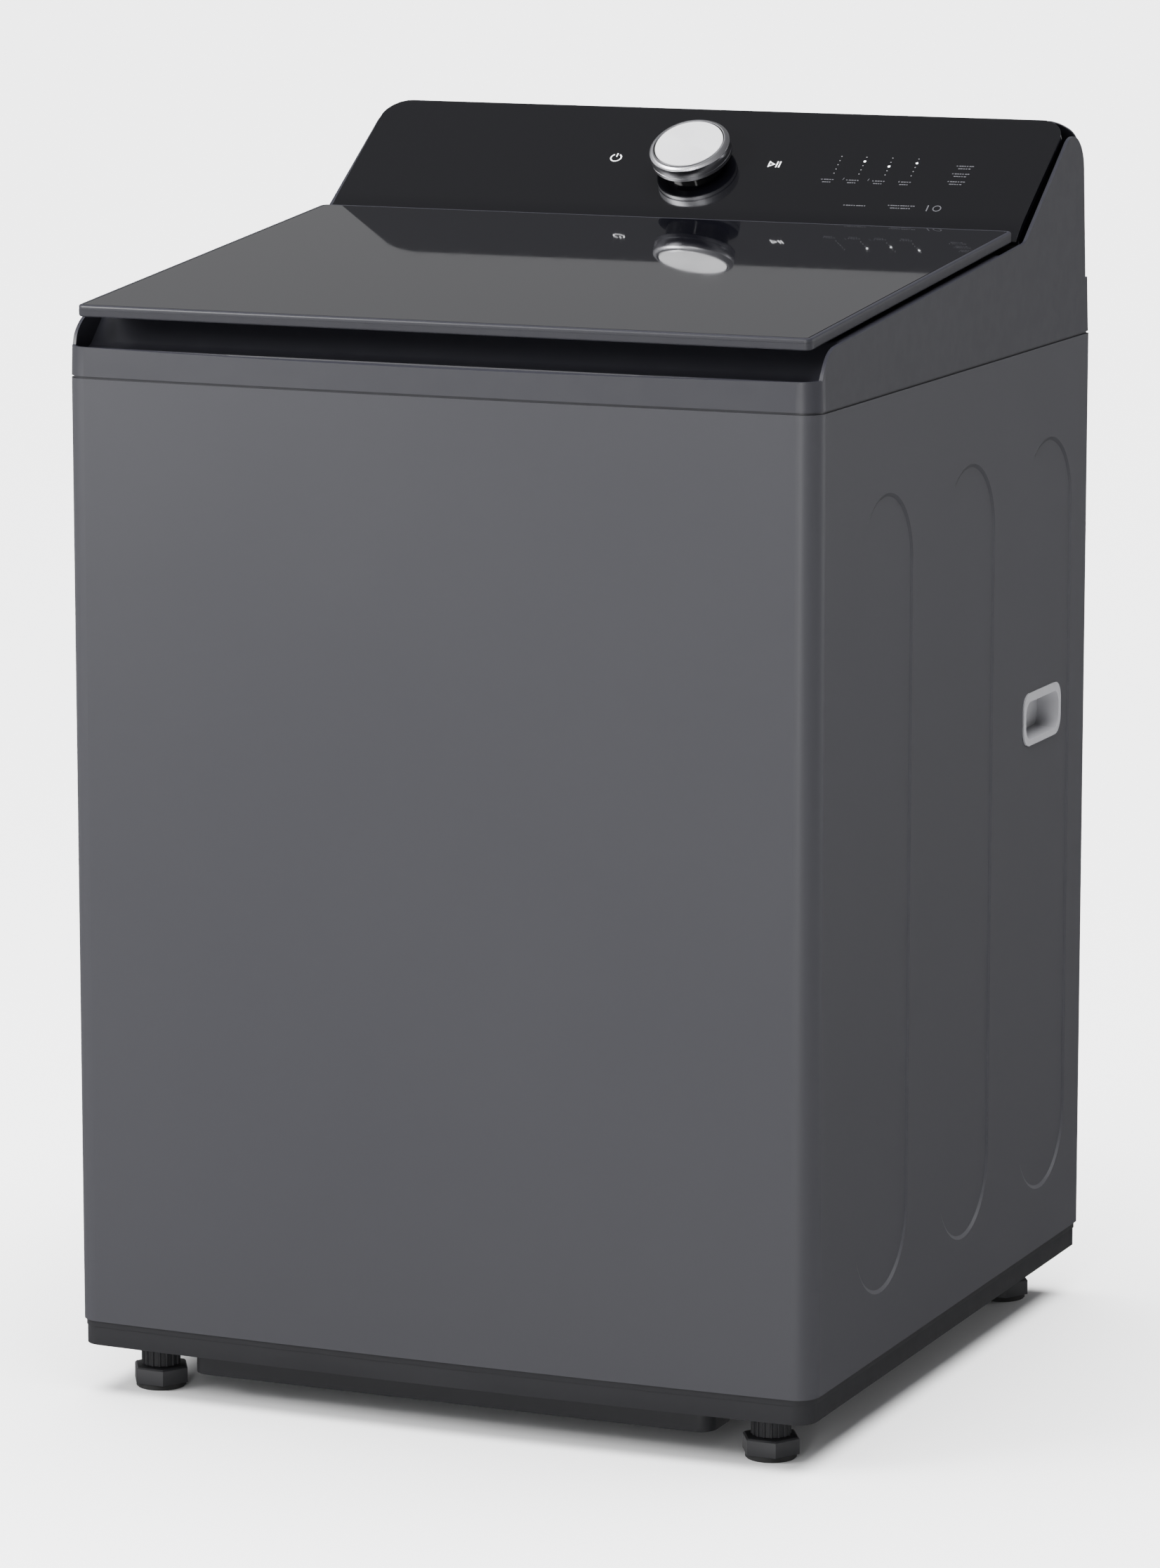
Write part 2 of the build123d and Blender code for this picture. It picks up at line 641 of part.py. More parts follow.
def build_lid_glass():
    """Dark glass top of the lid."""
    with BuildPart() as lid_glass:
        with BuildSketch(LID_PLANE):
            add(lid_outline(0.8))
        extrude(amount=-GLASS_T)
        chamfer(lid_glass.faces().sort_by(Axis((0, 0, 0), LID_PLANE.z_dir))[-1].edges(),
                length=0.8)
    lid_glass.part.label = "lid_glass"
    export_step(lid_glass.part, "parts/lid_glass.step")


def build_lid_frame():
    """Moulded frame around and under the glass, with a drip rim that hangs into the well."""
    rim_x = WELL_HALF_X - 14
    rim_front = WELL_FRONT_Y + 18 - LID_FRONT_Y
    rim_rear = WELL_REAR_Y - 24 - LID_FRONT_Y
    with BuildPart() as lid_frame:
        with BuildSketch(LID_PLANE.offset(-GLASS_T)):
            add(lid_outline(0))
        extrude(amount=GLASS_T - LID_T)
        under = lid_frame.faces().sort_by(Axis((0, 0, 0), LID_PLANE.z_dir))[0]
        fillet(under.edges(), radius=1.5)
        with BuildSketch(LID_PLANE.offset(-LID_T)):
            with Locations((0, (rim_front + rim_rear) / 2)):
                RectangleRounded(2 * rim_x, rim_rear - rim_front, 60)
                RectangleRounded(2 * rim_x - 8, rim_rear - rim_front - 8, 56, mode=Mode.SUBTRACT)
        extrude(amount=-8)
    lid_frame.part.label = "lid_frame"
    export_step(lid_frame.part, "parts/lid_frame.step")


def build_lid_hinges():
    """Hinge arms moulded with their pins, one at each rear corner of the lid."""
    arm_w = 14.0
    pin_span = 26.0
    with BuildPart() as lid_hinges:
        for x in (-HINGE_X, HINGE_X):
            with BuildSketch(Plane.YZ.offset(x - arm_w / 2)):
                with Locations((HINGE_Y, HINGE_Z)):
                    Circle(7.8)
                Polygon((HINGE_Y - 7.8, HINGE_Z), (HINGE_Y + 7.8, HINGE_Z),
                        (HINGE_Y + 7.8, lid_underside(HINGE_Y + 7.8)),
                        (HINGE_Y - 7.8, lid_underside(HINGE_Y - 7.8)), align=None)
            extrude(amount=arm_w)
            with BuildSketch(Plane.YZ.offset(x - pin_span / 2)):
                with Locations((HINGE_Y, HINGE_Z)):
                    Circle(PIN_R)
            extrude(amount=pin_span)
    lid_hinges.part.label = "lid_hinges"
    export_step(lid_hinges.part, "parts/lid_hinges.step")


def build_lid_striker():
    """Striker blade under the lid's front, with the window the lock bolt enters."""
    drop = lid_underside(STRIKER_Y)
    with BuildPart() as lid_striker:
        with BuildSketch(Plane.YZ.offset(STRIKER_X - 2)):
            Polygon((STRIKER_Y - 6, drop - 25), (STRIKER_Y + 6, drop - 25),
                    (STRIKER_Y + 6, lid_underside(STRIKER_Y + 6)),
                    (STRIKER_Y - 6, lid_underside(STRIKER_Y - 6)), align=None)
            with Locations((STRIKER_Y, BOLT_Z)):
                Rectangle(7.5, 8, mode=Mode.SUBTRACT)
        extrude(amount=4)
    lid_striker.part.label = "lid_striker"
    export_step(lid_striker.part, "parts/lid_striker.step")


# ---- console parts ---------------------------------------------------------------------------
def build_knob():
    """Programme knob: gloss neck on the panel, turned ring with its shaft, spun disc; display board."""
    knob_plane = Plane(origin=(0, *on_face(KNOB_ALONG)), x_dir=(1, 0, 0), z_dir=FACE_PLANE.z_dir)
    with BuildPart() as knob_collar:
        with BuildSketch(knob_plane):
            Circle(29)
            Circle(12, mode=Mode.SUBTRACT)
        extrude(amount=KNOB_NECK - 0.5)
    knob_collar.part.label = "knob_collar"
    export_step(knob_collar.part, "parts/knob_collar.step")
    with BuildPart() as knob_ring:
        with BuildSketch(knob_plane.offset(KNOB_NECK)):
            Circle(KNOB_R)
        extrude(amount=KNOB_TOP - KNOB_NECK)
        ends = knob_ring.edges().filter_by(GeomType.CIRCLE)
        fillet(ends, radius=1.6)
        with BuildSketch(knob_plane.offset(KNOB_TOP - 3)):
            Circle(33.2)
        extrude(amount=5, mode=Mode.SUBTRACT)
        with BuildSketch(knob_plane.offset(KNOB_NECK)):
            Circle(3)
        extrude(amount=-(KNOB_NECK + 20))
    knob_ring.part.label = "knob_ring"
    export_step(knob_ring.part, "parts/knob_ring.step")
    with BuildPart() as knob_disc:
        with BuildSketch(knob_plane.offset(KNOB_TOP - 3)):
            Circle(32.4)
        extrude(amount=3.2)
    knob_disc.part.label = "knob_disc"
    export_step(knob_disc.part, "parts/knob_disc.step")
    with BuildPart() as display_board:
        with BuildSketch(knob_plane.offset(-PANEL_T - 9)):
            with Locations((20, 0)):
                RectangleRounded(520, 66, 4)
            Circle(5, mode=Mode.SUBTRACT)
        extrude(amount=-1.6)
        with BuildSketch(knob_plane.offset(-PANEL_T - 10.6)):
            RectangleRounded(26, 26, 3)
            Circle(3 + RUN_FIT, mode=Mode.SUBTRACT)
        extrude(amount=-8)
    display_board.part.label = "display_board"
    export_step(display_board.part, "parts/display_board.step")


def build_control_board():
    """Main electronics board on its tray in the console bay."""
    x = 140.0
    y = 240.0
    with BuildPart() as control_tray:
        with BuildSketch(Plane.XY.offset(BAY_FLOOR_Z)):
            with Locations((x, y)):
                RectangleRounded(220, 110, 6)
        extrude(amount=26)
        with BuildSketch(Plane.XY.offset(BAY_FLOOR_Z + 2)):
            with Locations((x, y)):
                RectangleRounded(215, 105, 4)
        extrude(amount=26, mode=Mode.SUBTRACT)
    control_tray.part.label = "control_tray"
    export_step(control_tray.part, "parts/control_tray.step")
    with BuildPart() as control_board:
        with BuildSketch(Plane.XY.offset(BAY_FLOOR_Z + 2)):
            with GridLocations(180, 80, 2, 2):
                with Locations((x, y)):
                    Circle(3)
        extrude(amount=4)
        with BuildSketch(Plane.XY.offset(BAY_FLOOR_Z + 6)):
            with Locations((x, y)):
                RectangleRounded(208, 98, 2)
        extrude(amount=1.6)
        with BuildSketch(Plane.XY.offset(BAY_FLOOR_Z + 7.6)):
            with Locations((x - 60, y)):
                Rectangle(50, 60)
            with Locations((x + 10, y - 25), (x + 40, y - 25), (x + 70, y - 25)):
                Rectangle(18, 22)
        extrude(amount=16)
        with BuildSketch(Plane.XY.offset(BAY_FLOOR_Z + 7.6)):
            with Locations((x + 10, y + 22), (x + 34, y + 22), (x + 58, y + 22)):
                Circle(8)
        extrude(amount=20)
    control_board.part.label = "control_board"
    export_step(control_board.part, "parts/control_board.step")


def build_water_inlet():
    """Hot and cold inlet valves with threaded spigots, and their pipes to the dispenser."""
    spigot_end = 346.5
    with BuildPart() as inlet_valves:
        for x in VALVE_XS:
            with BuildSketch(Plane.XY.offset(BAY_FLOOR_Z)):
                with Locations((x, 310)):
                    RectangleRounded(34, 36, 3)
            extrude(amount=VALVE_Z + 18 - BAY_FLOOR_Z)
            with BuildSketch(Plane(origin=(x, 328, VALVE_Z), x_dir=(1, 0, 0), z_dir=(0, 1, 0))):
                Circle(13.2)
            extrude(amount=spigot_end - 328)
            with BuildSketch(Plane(origin=(x, spigot_end, VALVE_Z), x_dir=(1, 0, 0), z_dir=(0, 1, 0))):
                Circle(9)
            extrude(amount=-16, mode=Mode.SUBTRACT)
    inlet_valves.part.label = "inlet_valves"
    export_step(inlet_valves.part, "parts/inlet_valves.step")
    with BuildPart() as inlet_pipes:
        for x in VALVE_XS:
            with BuildLine() as route:
                FilletPolyline((x, 292, 972), (x, 228, 972), (x, 228, 942), radius=14)
            with BuildSketch(Plane(origin=(x, 292, 972), z_dir=(0, -1, 0))):
                Circle(8)
                Circle(6, mode=Mode.SUBTRACT)
            sweep(path=route.wires()[0])
    inlet_pipes.part.label = "inlet_pipes"
    export_step(inlet_pipes.part, "parts/inlet_pipes.step")


def build_dispenser():
    """Detergent dispenser: housing under the deck and a three-compartment drawer."""
    x0, x1 = DRAWER_X
    z0, z1 = DRAWER_Z
    mid = (x0 + x1) / 2
    wall = 2.5
    housing_front = WELL_REAR_Y + COVER_WALL
    housing_back = DRAWER_BACK_Y + 4
    with BuildPart() as dispenser_housing:
        with BuildSketch(Plane.XZ.offset(-housing_front)):
            with Locations((mid, (z0 + z1) / 2)):
                Rectangle(x1 - x0 + 2 + 2 * wall, z1 - z0 + 3)
        extrude(amount=-(housing_back - housing_front))
        with BuildSketch(Plane.XZ.offset(-housing_front)):
            with Locations((mid, (z0 + z1) / 2)):
                Rectangle(x1 - x0 + 2, z1 - z0 - 1)
        extrude(amount=-(housing_back - housing_front - wall), mode=Mode.SUBTRACT)
        with BuildSketch(Plane.XY.offset(z0 + 10)):
            with Locations(*[(x, 228) for x in VALVE_XS]):
                Circle(6)
        extrude(amount=60, mode=Mode.SUBTRACT)
    dispenser_housing.part.label = "dispenser_housing"
    export_step(dispenser_housing.part, "parts/dispenser_housing.step")
    with BuildPart() as dispenser_drawer:
        with BuildSketch(Plane.XY.offset(z0 + 1.5)):
            with Locations((mid, (WELL_REAR_Y + DRAWER_BACK_Y) / 2)):
                Rectangle(x1 - x0, DRAWER_BACK_Y - WELL_REAR_Y)
        extrude(amount=z1 - z0 - 5)
        with BuildSketch(Plane.XY.offset(z0 + 3.5)):
            for x, w in ((x0 + 26, 46), (mid, 48), (x1 - 26, 46)):
                with Locations((x, (WELL_REAR_Y + 4 + DRAWER_BACK_Y) / 2)):
                    RectangleRounded(w, DRAWER_BACK_Y - WELL_REAR_Y - 10, 8)
        extrude(amount=60, mode=Mode.SUBTRACT)
        with BuildSketch(Plane.XZ.offset(-WELL_REAR_Y)):
            with Locations((mid, (z0 + z1) / 2)):
                RectangleRounded(x1 - x0, z1 - z0, 3)
        extrude(amount=-3)
        with BuildSketch(Plane.XZ.offset(-WELL_REAR_Y + 5)):
            with Locations((mid, z0)):
                RectangleRounded(60, 20, 6)
        extrude(amount=-8.2, mode=Mode.SUBTRACT)
    dispenser_drawer.part.label = "dispenser_drawer"
    export_step(dispenser_drawer.part, "parts/dispenser_drawer.step")


# ---- washing group ---------------------------------------------------------------------------
def build_outer_tub():
    """Plastic tub that holds the water: wall, floor, four suspension lugs and a sump outlet."""
    lug_top = TUB_BOTTOM_Z + 28
    with BuildPart() as outer_tub:
        with BuildSketch(TUB_PLANE.offset(TUB_BOTTOM_Z)):
            Circle(TUB_R)
        extrude(amount=TUB_TOP_Z - TUB_BOTTOM_Z)
        with BuildSketch(TUB_PLANE.offset(TUB_BOTTOM_Z)):
            with PolarLocations(TUB_R + 40, 4, start_angle=45):
                Rectangle(120, 60)
            Circle(TUB_R - 20, mode=Mode.SUBTRACT)
        extrude(amount=lug_top - TUB_BOTTOM_Z)
        with BuildSketch(TUB_PLANE.offset(TUB_BOTTOM_Z + TUB_FLOOR)):
            Circle(TUB_R - TUB_WALL)
        extrude(amount=TUB_TOP_Z - TUB_BOTTOM_Z, mode=Mode.SUBTRACT)
        with BuildSketch(Plane.XY.offset(TUB_BOTTOM_Z - 1)):
            with Locations(*rod_points()):
                Circle(ROD_R + 2.5)
            with Locations((0, TUB_Y)):
                Circle(36)
            with Locations((PUMP_X, PUMP_Y)):
                Circle(14)
        extrude(amount=40, mode=Mode.SUBTRACT)
        with BuildSketch(TUB_PLANE.offset(TUB_TOP_Z - 14)):
            Circle(TUB_R + 3)
            Circle(TUB_R - 1, mode=Mode.SUBTRACT)
        extrude(amount=4)
    outer_tub.part.label = "outer_tub"
    export_step(outer_tub.part, "parts/outer_tub.step")


def build_tub_cover():
    """Splash ring clipped on the tub's rim."""
    with BuildPart() as tub_cover:
        with BuildSketch(TUB_SECTION):
            Polygon((TUB_R + 0.3, TUB_TOP_Z - 9), (TUB_R + 3.3, TUB_TOP_Z - 9),
                    (TUB_R + 3.3, TUB_TOP_Z + 3), (MOUTH_R + 12, TUB_TOP_Z + 3),
                    (MOUTH_R + 10, TUB_TOP_Z + 22), (MOUTH_R + 7, TUB_TOP_Z + 22),
                    (MOUTH_R + 7, TUB_TOP_Z), (TUB_R + 0.3, TUB_TOP_Z), align=None)
        revolve(axis=TUB_AXIS)
    tub_cover.part.label = "tub_cover"
    export_step(tub_cover.part, "parts/tub_cover.step")


def build_drive():
    """Bearing housing, bearings and stator on the tub; rotor and wash shaft below and through it."""
    housing_r = 42.0
    housing_low = 134.0
    bearing_r = 35.0
    stator_z = (122.0, 146.0)
    rotor_low = 106.0
    with BuildPart() as bearing_housing:
        with BuildSketch(TUB_PLANE.offset(TUB_BOTTOM_Z - 10)):
            Circle(92)
        extrude(amount=10)
        with BuildSketch(TUB_PLANE.offset(housing_low)):
            Circle(housing_r)
        extrude(amount=TUB_BOTTOM_Z - housing_low)
        with BuildSketch(TUB_PLANE.offset(housing_low + 20)):
            with PolarLocations(60, 6):
                Rectangle(42, 5)
        extrude(amount=TUB_BOTTOM_Z - 10 - housing_low - 20)
        with BuildSketch(TUB_PLANE.offset(housing_low)):
            Circle(bearing_r)
        extrude(amount=80, mode=Mode.SUBTRACT)
    bearing_housing.part.label = "bearing_housing"
    export_step(bearing_housing.part, "parts/bearing_housing.step")
    with BuildPart() as bearings:
        for z in (housing_low + 4, TUB_BOTTOM_Z - 20):
            with BuildSketch(TUB_PLANE.offset(z)):
                Circle(bearing_r)
                Circle(SPIN_SHAFT_R + RUN_FIT, mode=Mode.SUBTRACT)
            extrude(amount=16)
    bearings.part.label = "bearings"
    export_step(bearings.part, "parts/bearings.step")
    with BuildPart() as stator:
        with BuildSketch(TUB_PLANE.offset(stator_z[0])):
            Circle(76)
            with PolarLocations(96, 24):
                Rectangle(44, 11)
            Circle(housing_r, mode=Mode.SUBTRACT)
        extrude(amount=stator_z[1] - stator_z[0])
    stator.part.label = "stator"
    export_step(stator.part, "parts/stator.step")
    with BuildPart() as rotor:
        with BuildSketch(TUB_SECTION):
            Polygon((WASH_SHAFT_R, rotor_low), (127, rotor_low), (130, rotor_low + 3), (130, 152),
                    (122, 152), (122, rotor_low + 4), (22, rotor_low + 4), (22, 120),
                    (WASH_SHAFT_R, 120), align=None)
        revolve(axis=TUB_AXIS)
        with BuildSketch(TUB_PLANE.offset(rotor_low - 1)):
            with PolarLocations(72, 8):
                SlotOverall(60, 16)
        extrude(amount=8, mode=Mode.SUBTRACT)
    rotor.part.label = "rotor"
    export_step(rotor.part, "parts/rotor.step")
    with BuildPart() as wash_shaft:
        with BuildSketch(TUB_PLANE.offset(94)):
            Circle(WASH_SHAFT_R)
        extrude(amount=152)
        with BuildSketch(TUB_PLANE.offset(96)):
            RegularPolygon(18, 6)
        extrude(amount=rotor_low - 96)
    wash_shaft.part.label = "wash_shaft"
    export_step(wash_shaft.part, "parts/wash_shaft.step")


def build_basket():
    """Steel wash basket with drain holes, its hub with the spin shaft, balance ring and filters."""
    rows = 8
    columns = 16
    with BuildPart() as basket:
        with BuildSketch(TUB_PLANE.offset(BASKET_Z)):
            Circle(BASKET_R)
        extrude(amount=BASKET_TOP_Z - BASKET_Z)
        with BuildSketch(TUB_PLANE.offset(BASKET_Z + 2)):
            Circle(BASKET_R - BASKET_WALL)
        extrude(amount=BASKET_TOP_Z - BASKET_Z, mode=Mode.SUBTRACT)
        with BuildSketch(TUB_PLANE.offset(BASKET_Z - 1)):
            Circle(WASH_SHAFT_R + 4)
            with PolarLocations(255, columns):
                Circle(4)
        extrude(amount=5, mode=Mode.SUBTRACT)
        for column in range(columns // 2):
            turn = 360 / columns * (column + 0.5)
            wall = Plane(origin=(0, TUB_Y, 0), x_dir=(-sin(radians(turn)), cos(radians(turn)), 0),
                         z_dir=(cos(radians(turn)), sin(radians(turn)), 0))
            with BuildSketch(wall):
                with Locations(*[(0, 300 + 60 * row) for row in range(rows)]):
                    Circle(3)
            extrude(amount=BASKET_R + 5, both=True, mode=Mode.SUBTRACT)
    basket.part.label = "basket"
    export_step(basket.part, "parts/basket.step")
    with BuildPart() as basket_hub:
        with BuildSketch(TUB_PLANE.offset(BASKET_Z - 10)):
            Circle(60)
            with PolarLocations(120, 3):
                Rectangle(220, 44)
        extrude(amount=10)
        with BuildSketch(TUB_PLANE.offset(136)):
            Circle(SPIN_SHAFT_R)
        extrude(amount=BASKET_Z - 10 - 136)
        with BuildSketch(TUB_PLANE.offset(130)):
            Circle(WASH_SHAFT_R + RUN_FIT)
        extrude(amount=120, mode=Mode.SUBTRACT)
    basket_hub.part.label = "basket_hub"
    export_step(basket_hub.part, "parts/basket_hub.step")
    with BuildPart() as balance_ring:
        with BuildSketch(TUB_SECTION):
            Polygon((MOUTH_R, BASKET_TOP_Z + 10), (MOUTH_R + 10, BASKET_TOP_Z), (BASKET_R, BASKET_TOP_Z),
                    (BASKET_R, RING_TOP_Z - 8), (BASKET_R - 8, RING_TOP_Z), (MOUTH_R + 6, RING_TOP_Z),
                    (MOUTH_R, RING_TOP_Z - 6), align=None)
        revolve(axis=TUB_AXIS)
    balance_ring.part.label = "balance_ring"
    export_step(balance_ring.part, "parts/balance_ring.step")
    with BuildPart() as lint_filters:
        with BuildSketch(TUB_PLANE.offset(470)):
            with PolarLocations(259, 3, start_angle=90):
                Rectangle(16, 92)
            Circle(BASKET_R - BASKET_WALL, mode=Mode.INTERSECT)
        extrude(amount=170)
    lint_filters.part.label = "lint_filters"
    export_step(lint_filters.part, "parts/lint_filters.step")


def build_wash_plate():
    """Pulsator: dished wash plate with radial fins, and the cap over its bolt."""
    low = 226.0
    with BuildPart() as wash_plate:
        with BuildSketch(TUB_SECTION):
            Polygon((WASH_SHAFT_R, low), (90, low), (200, low + 8), (PLATE_R, low + 22),
                    (PLATE_R, low + 27), (198, low + 14), (110, low + 12), (50, low + 26),
                    (WASH_SHAFT_R, low + 26), align=None)
        revolve(axis=TUB_AXIS)
        for turn in range(0, 360, 60):
            fin = TUB_PLANE.rotated((0, 0, turn)).offset(low + 6)
            with BuildSketch(fin):
                with Locations((135, 0)):
                    SlotOverall(170, 30)
            extrude(amount=44, taper=14)
    wash_plate.part.label = "wash_plate"
    export_step(wash_plate.part, "parts/wash_plate.step")
    with BuildPart() as wash_plate_cap:
        with BuildSketch(TUB_PLANE.offset(low + 26)):
            Circle(38)
        extrude(amount=14, taper=20)
        fillet(wash_plate_cap.edges().group_by(Axis.Z)[-1], radius=3)
    wash_plate_cap.part.label = "wash_plate_cap"
    export_step(wash_plate_cap.part, "parts/wash_plate_cap.step")


def build_suspension():
    """Corner hangers, hanging rods with their lower seats, damper caps and coil springs."""
    wire_r = 2.0
    coil_r = 13.5
    seat_top = ROD_SEAT_Z + 6
    cap_top = TUB_BOTTOM_Z - 6
    with BuildPart() as suspension_hangers:
        for x, y in rod_points():
            sx = 1 if x > 0 else -1
            wall_x = sx * (HALF_WIDTH - SHEET)
            wall_y = SHELL_BACK_Y - SHEET if y > 0 else CORNER_Y + SHEET + 3
            sy = 1 if y > 0 else -1
            with BuildSketch(Plane.XY.offset(HANGER_Z)):
                Polygon((x - sx * 14, y - sy * 14), (wall_x, y - sy * 22), (wall_x, wall_y - sy * 24),
                        (wall_x - sx * 24, wall_y), (x - sx * 22, wall_y), align=None)
                with Locations((x, y)):
                    Circle(ROD_R + 1.5, mode=Mode.SUBTRACT)
            extrude(amount=4)
    suspension_hangers.part.label = "suspension_hangers"
    export_step(suspension_hangers.part, "parts/suspension_hangers.step")
    with BuildPart() as suspension_rods:
        for x, y in rod_points():
            at_rod = Plane(origin=(x, y, 0))
            with BuildSketch(at_rod.offset(ROD_SEAT_Z)):
                Circle(ROD_R)
            extrude(amount=HANGER_Z + 4 - ROD_SEAT_Z)
            with BuildSketch(at_rod.offset(HANGER_Z + 4)):
                Circle(10)
            extrude(amount=7, taper=20)
            with BuildSketch(at_rod.offset(ROD_SEAT_Z)):
                Circle(17)
            extrude(amount=seat_top - ROD_SEAT_Z)
    suspension_rods.part.label = "suspension_rods"
    export_step(suspension_rods.part, "parts/suspension_rods.step")
    with BuildPart() as damper_caps:
        for x, y in rod_points():
            at_rod = Plane(origin=(x, y, 0))
            with BuildSketch(at_rod.offset(cap_top - 40)):
                Circle(21)
                Circle(18.5, mode=Mode.SUBTRACT)
            extrude(amount=40)
            with BuildSketch(at_rod.offset(cap_top)):
                Circle(21)
                Circle(ROD_R + 0.1, mode=Mode.SUBTRACT)
            extrude(amount=TUB_BOTTOM_Z - cap_top)
    damper_caps.part.label = "damper_caps"
    export_step(damper_caps.part, "parts/damper_caps.step")
    turns = 7
    length = cap_top - seat_top - 2 * wire_r - 0.4
    with BuildPart() as spring:
        with BuildLine() as coil:
            Helix(pitch=length / turns, height=length, radius=coil_r)
        with BuildSketch(Plane(origin=coil.line @ 0, z_dir=coil.line % 0)):
            Circle(wire_r)
        sweep(path=coil.line, is_frenet=True)
    with BuildPart() as suspension_springs:
        with Locations(*[(x, y, seat_top + wire_r + 0.2) for x, y in rod_points()]):
            add(spring.part)
    suspension_springs.part.label = "suspension_springs"
    export_step(suspension_springs.part, "parts/suspension_springs.step")


# ---- draining and services -------------------------------------------------------------------
def build_drain():
    """Drain pump with impeller on the base rail, bellows from the sump, pipe and drain port."""
    tray = BASE_Z + 4
    at_pump = Plane(origin=(PUMP_X, PUMP_Y, 0))
    pump_low = 70.0
    pump_top = 100.0
    cavity_r = 34.0
    pipe_r = 11.0
    port_front = 318.0
    with BuildPart() as drain_pump:
        with BuildSketch(at_pump.offset(tray)):
            Circle(30)
        extrude(amount=pump_low - tray)
        with BuildSketch(at_pump.offset(pump_low)):
            Circle(cavity_r + 5)
            with Locations((DRAIN_X - PUMP_X, 25)):
                Rectangle(28, 50)
        extrude(amount=pump_top - pump_low)
        with BuildSketch(at_pump.offset(pump_top)):
            Circle(16)
        extrude(amount=18)
        with BuildSketch(at_pump.offset(pump_low + 4)):
            Circle(cavity_r)
        extrude(amount=pump_top - pump_low - 8, mode=Mode.SUBTRACT)
        with BuildSketch(at_pump.offset(pump_top - 10)):
            Circle(13)
        extrude(amount=40, mode=Mode.SUBTRACT)
        with BuildSketch(at_pump.offset(tray + 6)):
            Circle(4 + RUN_FIT)
        extrude(amount=40, mode=Mode.SUBTRACT)
        with BuildSketch(Plane(origin=(DRAIN_X, PUMP_Y + 50, DRAIN_Z), x_dir=(1, 0, 0),
                               z_dir=(0, 1, 0))):
            Circle(pipe_r - 2)
        extrude(amount=-50, mode=Mode.SUBTRACT)
    drain_pump.part.label = "drain_pump"
    export_step(drain_pump.part, "parts/drain_pump.step")
    with BuildPart() as pump_impeller:
        with BuildSketch(at_pump.offset(tray + 7)):
            Circle(4)
        extrude(amount=pump_low - tray)
        with BuildSketch(at_pump.offset(pump_low + 6)):
            Circle(9)
            with PolarLocations(17, 4):
                Rectangle(26, 3)
        extrude(amount=14)
    pump_impeller.part.label = "pump_impeller"
    export_step(pump_impeller.part, "parts/pump_impeller.step")
    folds = 6
    bellows_low = pump_top + 2
    fold_h = (TUB_BOTTOM_Z - 0.5 - bellows_low - 12) / folds
    outer = [(21 if i % 2 else 25, bellows_low + 12 + fold_h * i / 2) for i in range(2 * folds)]
    inner = [(r - 2, z) for r, z in reversed(outer)]
    pump_section = Plane(origin=(PUMP_X, PUMP_Y, 0), x_dir=(1, 0, 0), z_dir=(0, -1, 0))
    with BuildPart() as sump_bellows:
        with BuildSketch(pump_section):
            Polygon((18.5, bellows_low), *outer, (21, TUB_BOTTOM_Z - 0.5), (18.5, TUB_BOTTOM_Z - 0.5),
                    *inner, (16.2, bellows_low + 10), (16.2, bellows_low), align=None)
        revolve(axis=Axis((PUMP_X, PUMP_Y, 0), (0, 0, 1)))
    sump_bellows.part.label = "sump_bellows"
    export_step(sump_bellows.part, "parts/sump_bellows.step")
    pipe_start = (DRAIN_X, PUMP_Y + 50, DRAIN_Z)
    with BuildPart() as drain_pipe:
        with BuildLine() as route:
            FilletPolyline(pipe_start, (DRAIN_X, 220, DRAIN_Z), (DRAIN_X, 275, SPIGOT_Z),
                           (DRAIN_X, port_front, SPIGOT_Z), radius=40)
        with BuildSketch(Plane(origin=pipe_start, x_dir=(1, 0, 0), z_dir=(0, 1, 0))):
            Circle(pipe_r)
            Circle(pipe_r - 2, mode=Mode.SUBTRACT)
        sweep(path=route.wires()[0])
    drain_pipe.part.label = "drain_pipe"
    export_step(drain_pipe.part, "parts/drain_pipe.step")
    with BuildPart() as drain_port:
        with BuildSketch(Plane.XZ.offset(-port_front)):
            with Locations((DRAIN_X, PORT_Z)):
                RectangleRounded(70, 90, 12)
        extrude(amount=-(SHELL_BACK_Y + SHEET + 1 - port_front))
        with BuildSketch(Plane.XZ.offset(-(port_front + 2.5))):
            with Locations((DRAIN_X, PORT_Z)):
                RectangleRounded(65, 85, 9.5)
        extrude(amount=-40, mode=Mode.SUBTRACT)
        with BuildSketch(Plane.XZ.offset(-port_front)):
            with Locations((DRAIN_X, SPIGOT_Z)):
                Circle(pipe_r)
        extrude(amount=-26)
        with BuildSketch(Plane.XZ.offset(-port_front)):
            with Locations((DRAIN_X, SPIGOT_Z)):
                Circle(pipe_r - 2.5)
        extrude(amount=-26, mode=Mode.SUBTRACT)
    drain_port.part.label = "drain_port"
    export_step(drain_port.part, "parts/drain_port.step")


def build_cord_gland():
    """Rubber gland in the back panel where the mains lead enters."""
    with BuildPart() as cord_gland:
        with BuildSketch(Plane.XZ.offset(-(SHELL_BACK_Y - 6))):
            with Locations((CORD_X, CORD_Z)):
                Circle(11)
        extrude(amount=-(BACK_FACE_Y - SHELL_BACK_Y + 5.5))
        with BuildSketch(Plane.XZ.offset(-(SHELL_BACK_Y + SHEET))):
            with Locations((CORD_X, CORD_Z)):
                Circle(15)
        extrude(amount=-2)
        with BuildSketch(Plane.XZ.offset(-(SHELL_BACK_Y - 7))):
            with Locations((CORD_X, CORD_Z)):
                Circle(4.5)
        extrude(amount=-20, mode=Mode.SUBTRACT)
    cord_gland.part.label = "cord_gland"
    export_step(cord_gland.part, "parts/cord_gland.step")


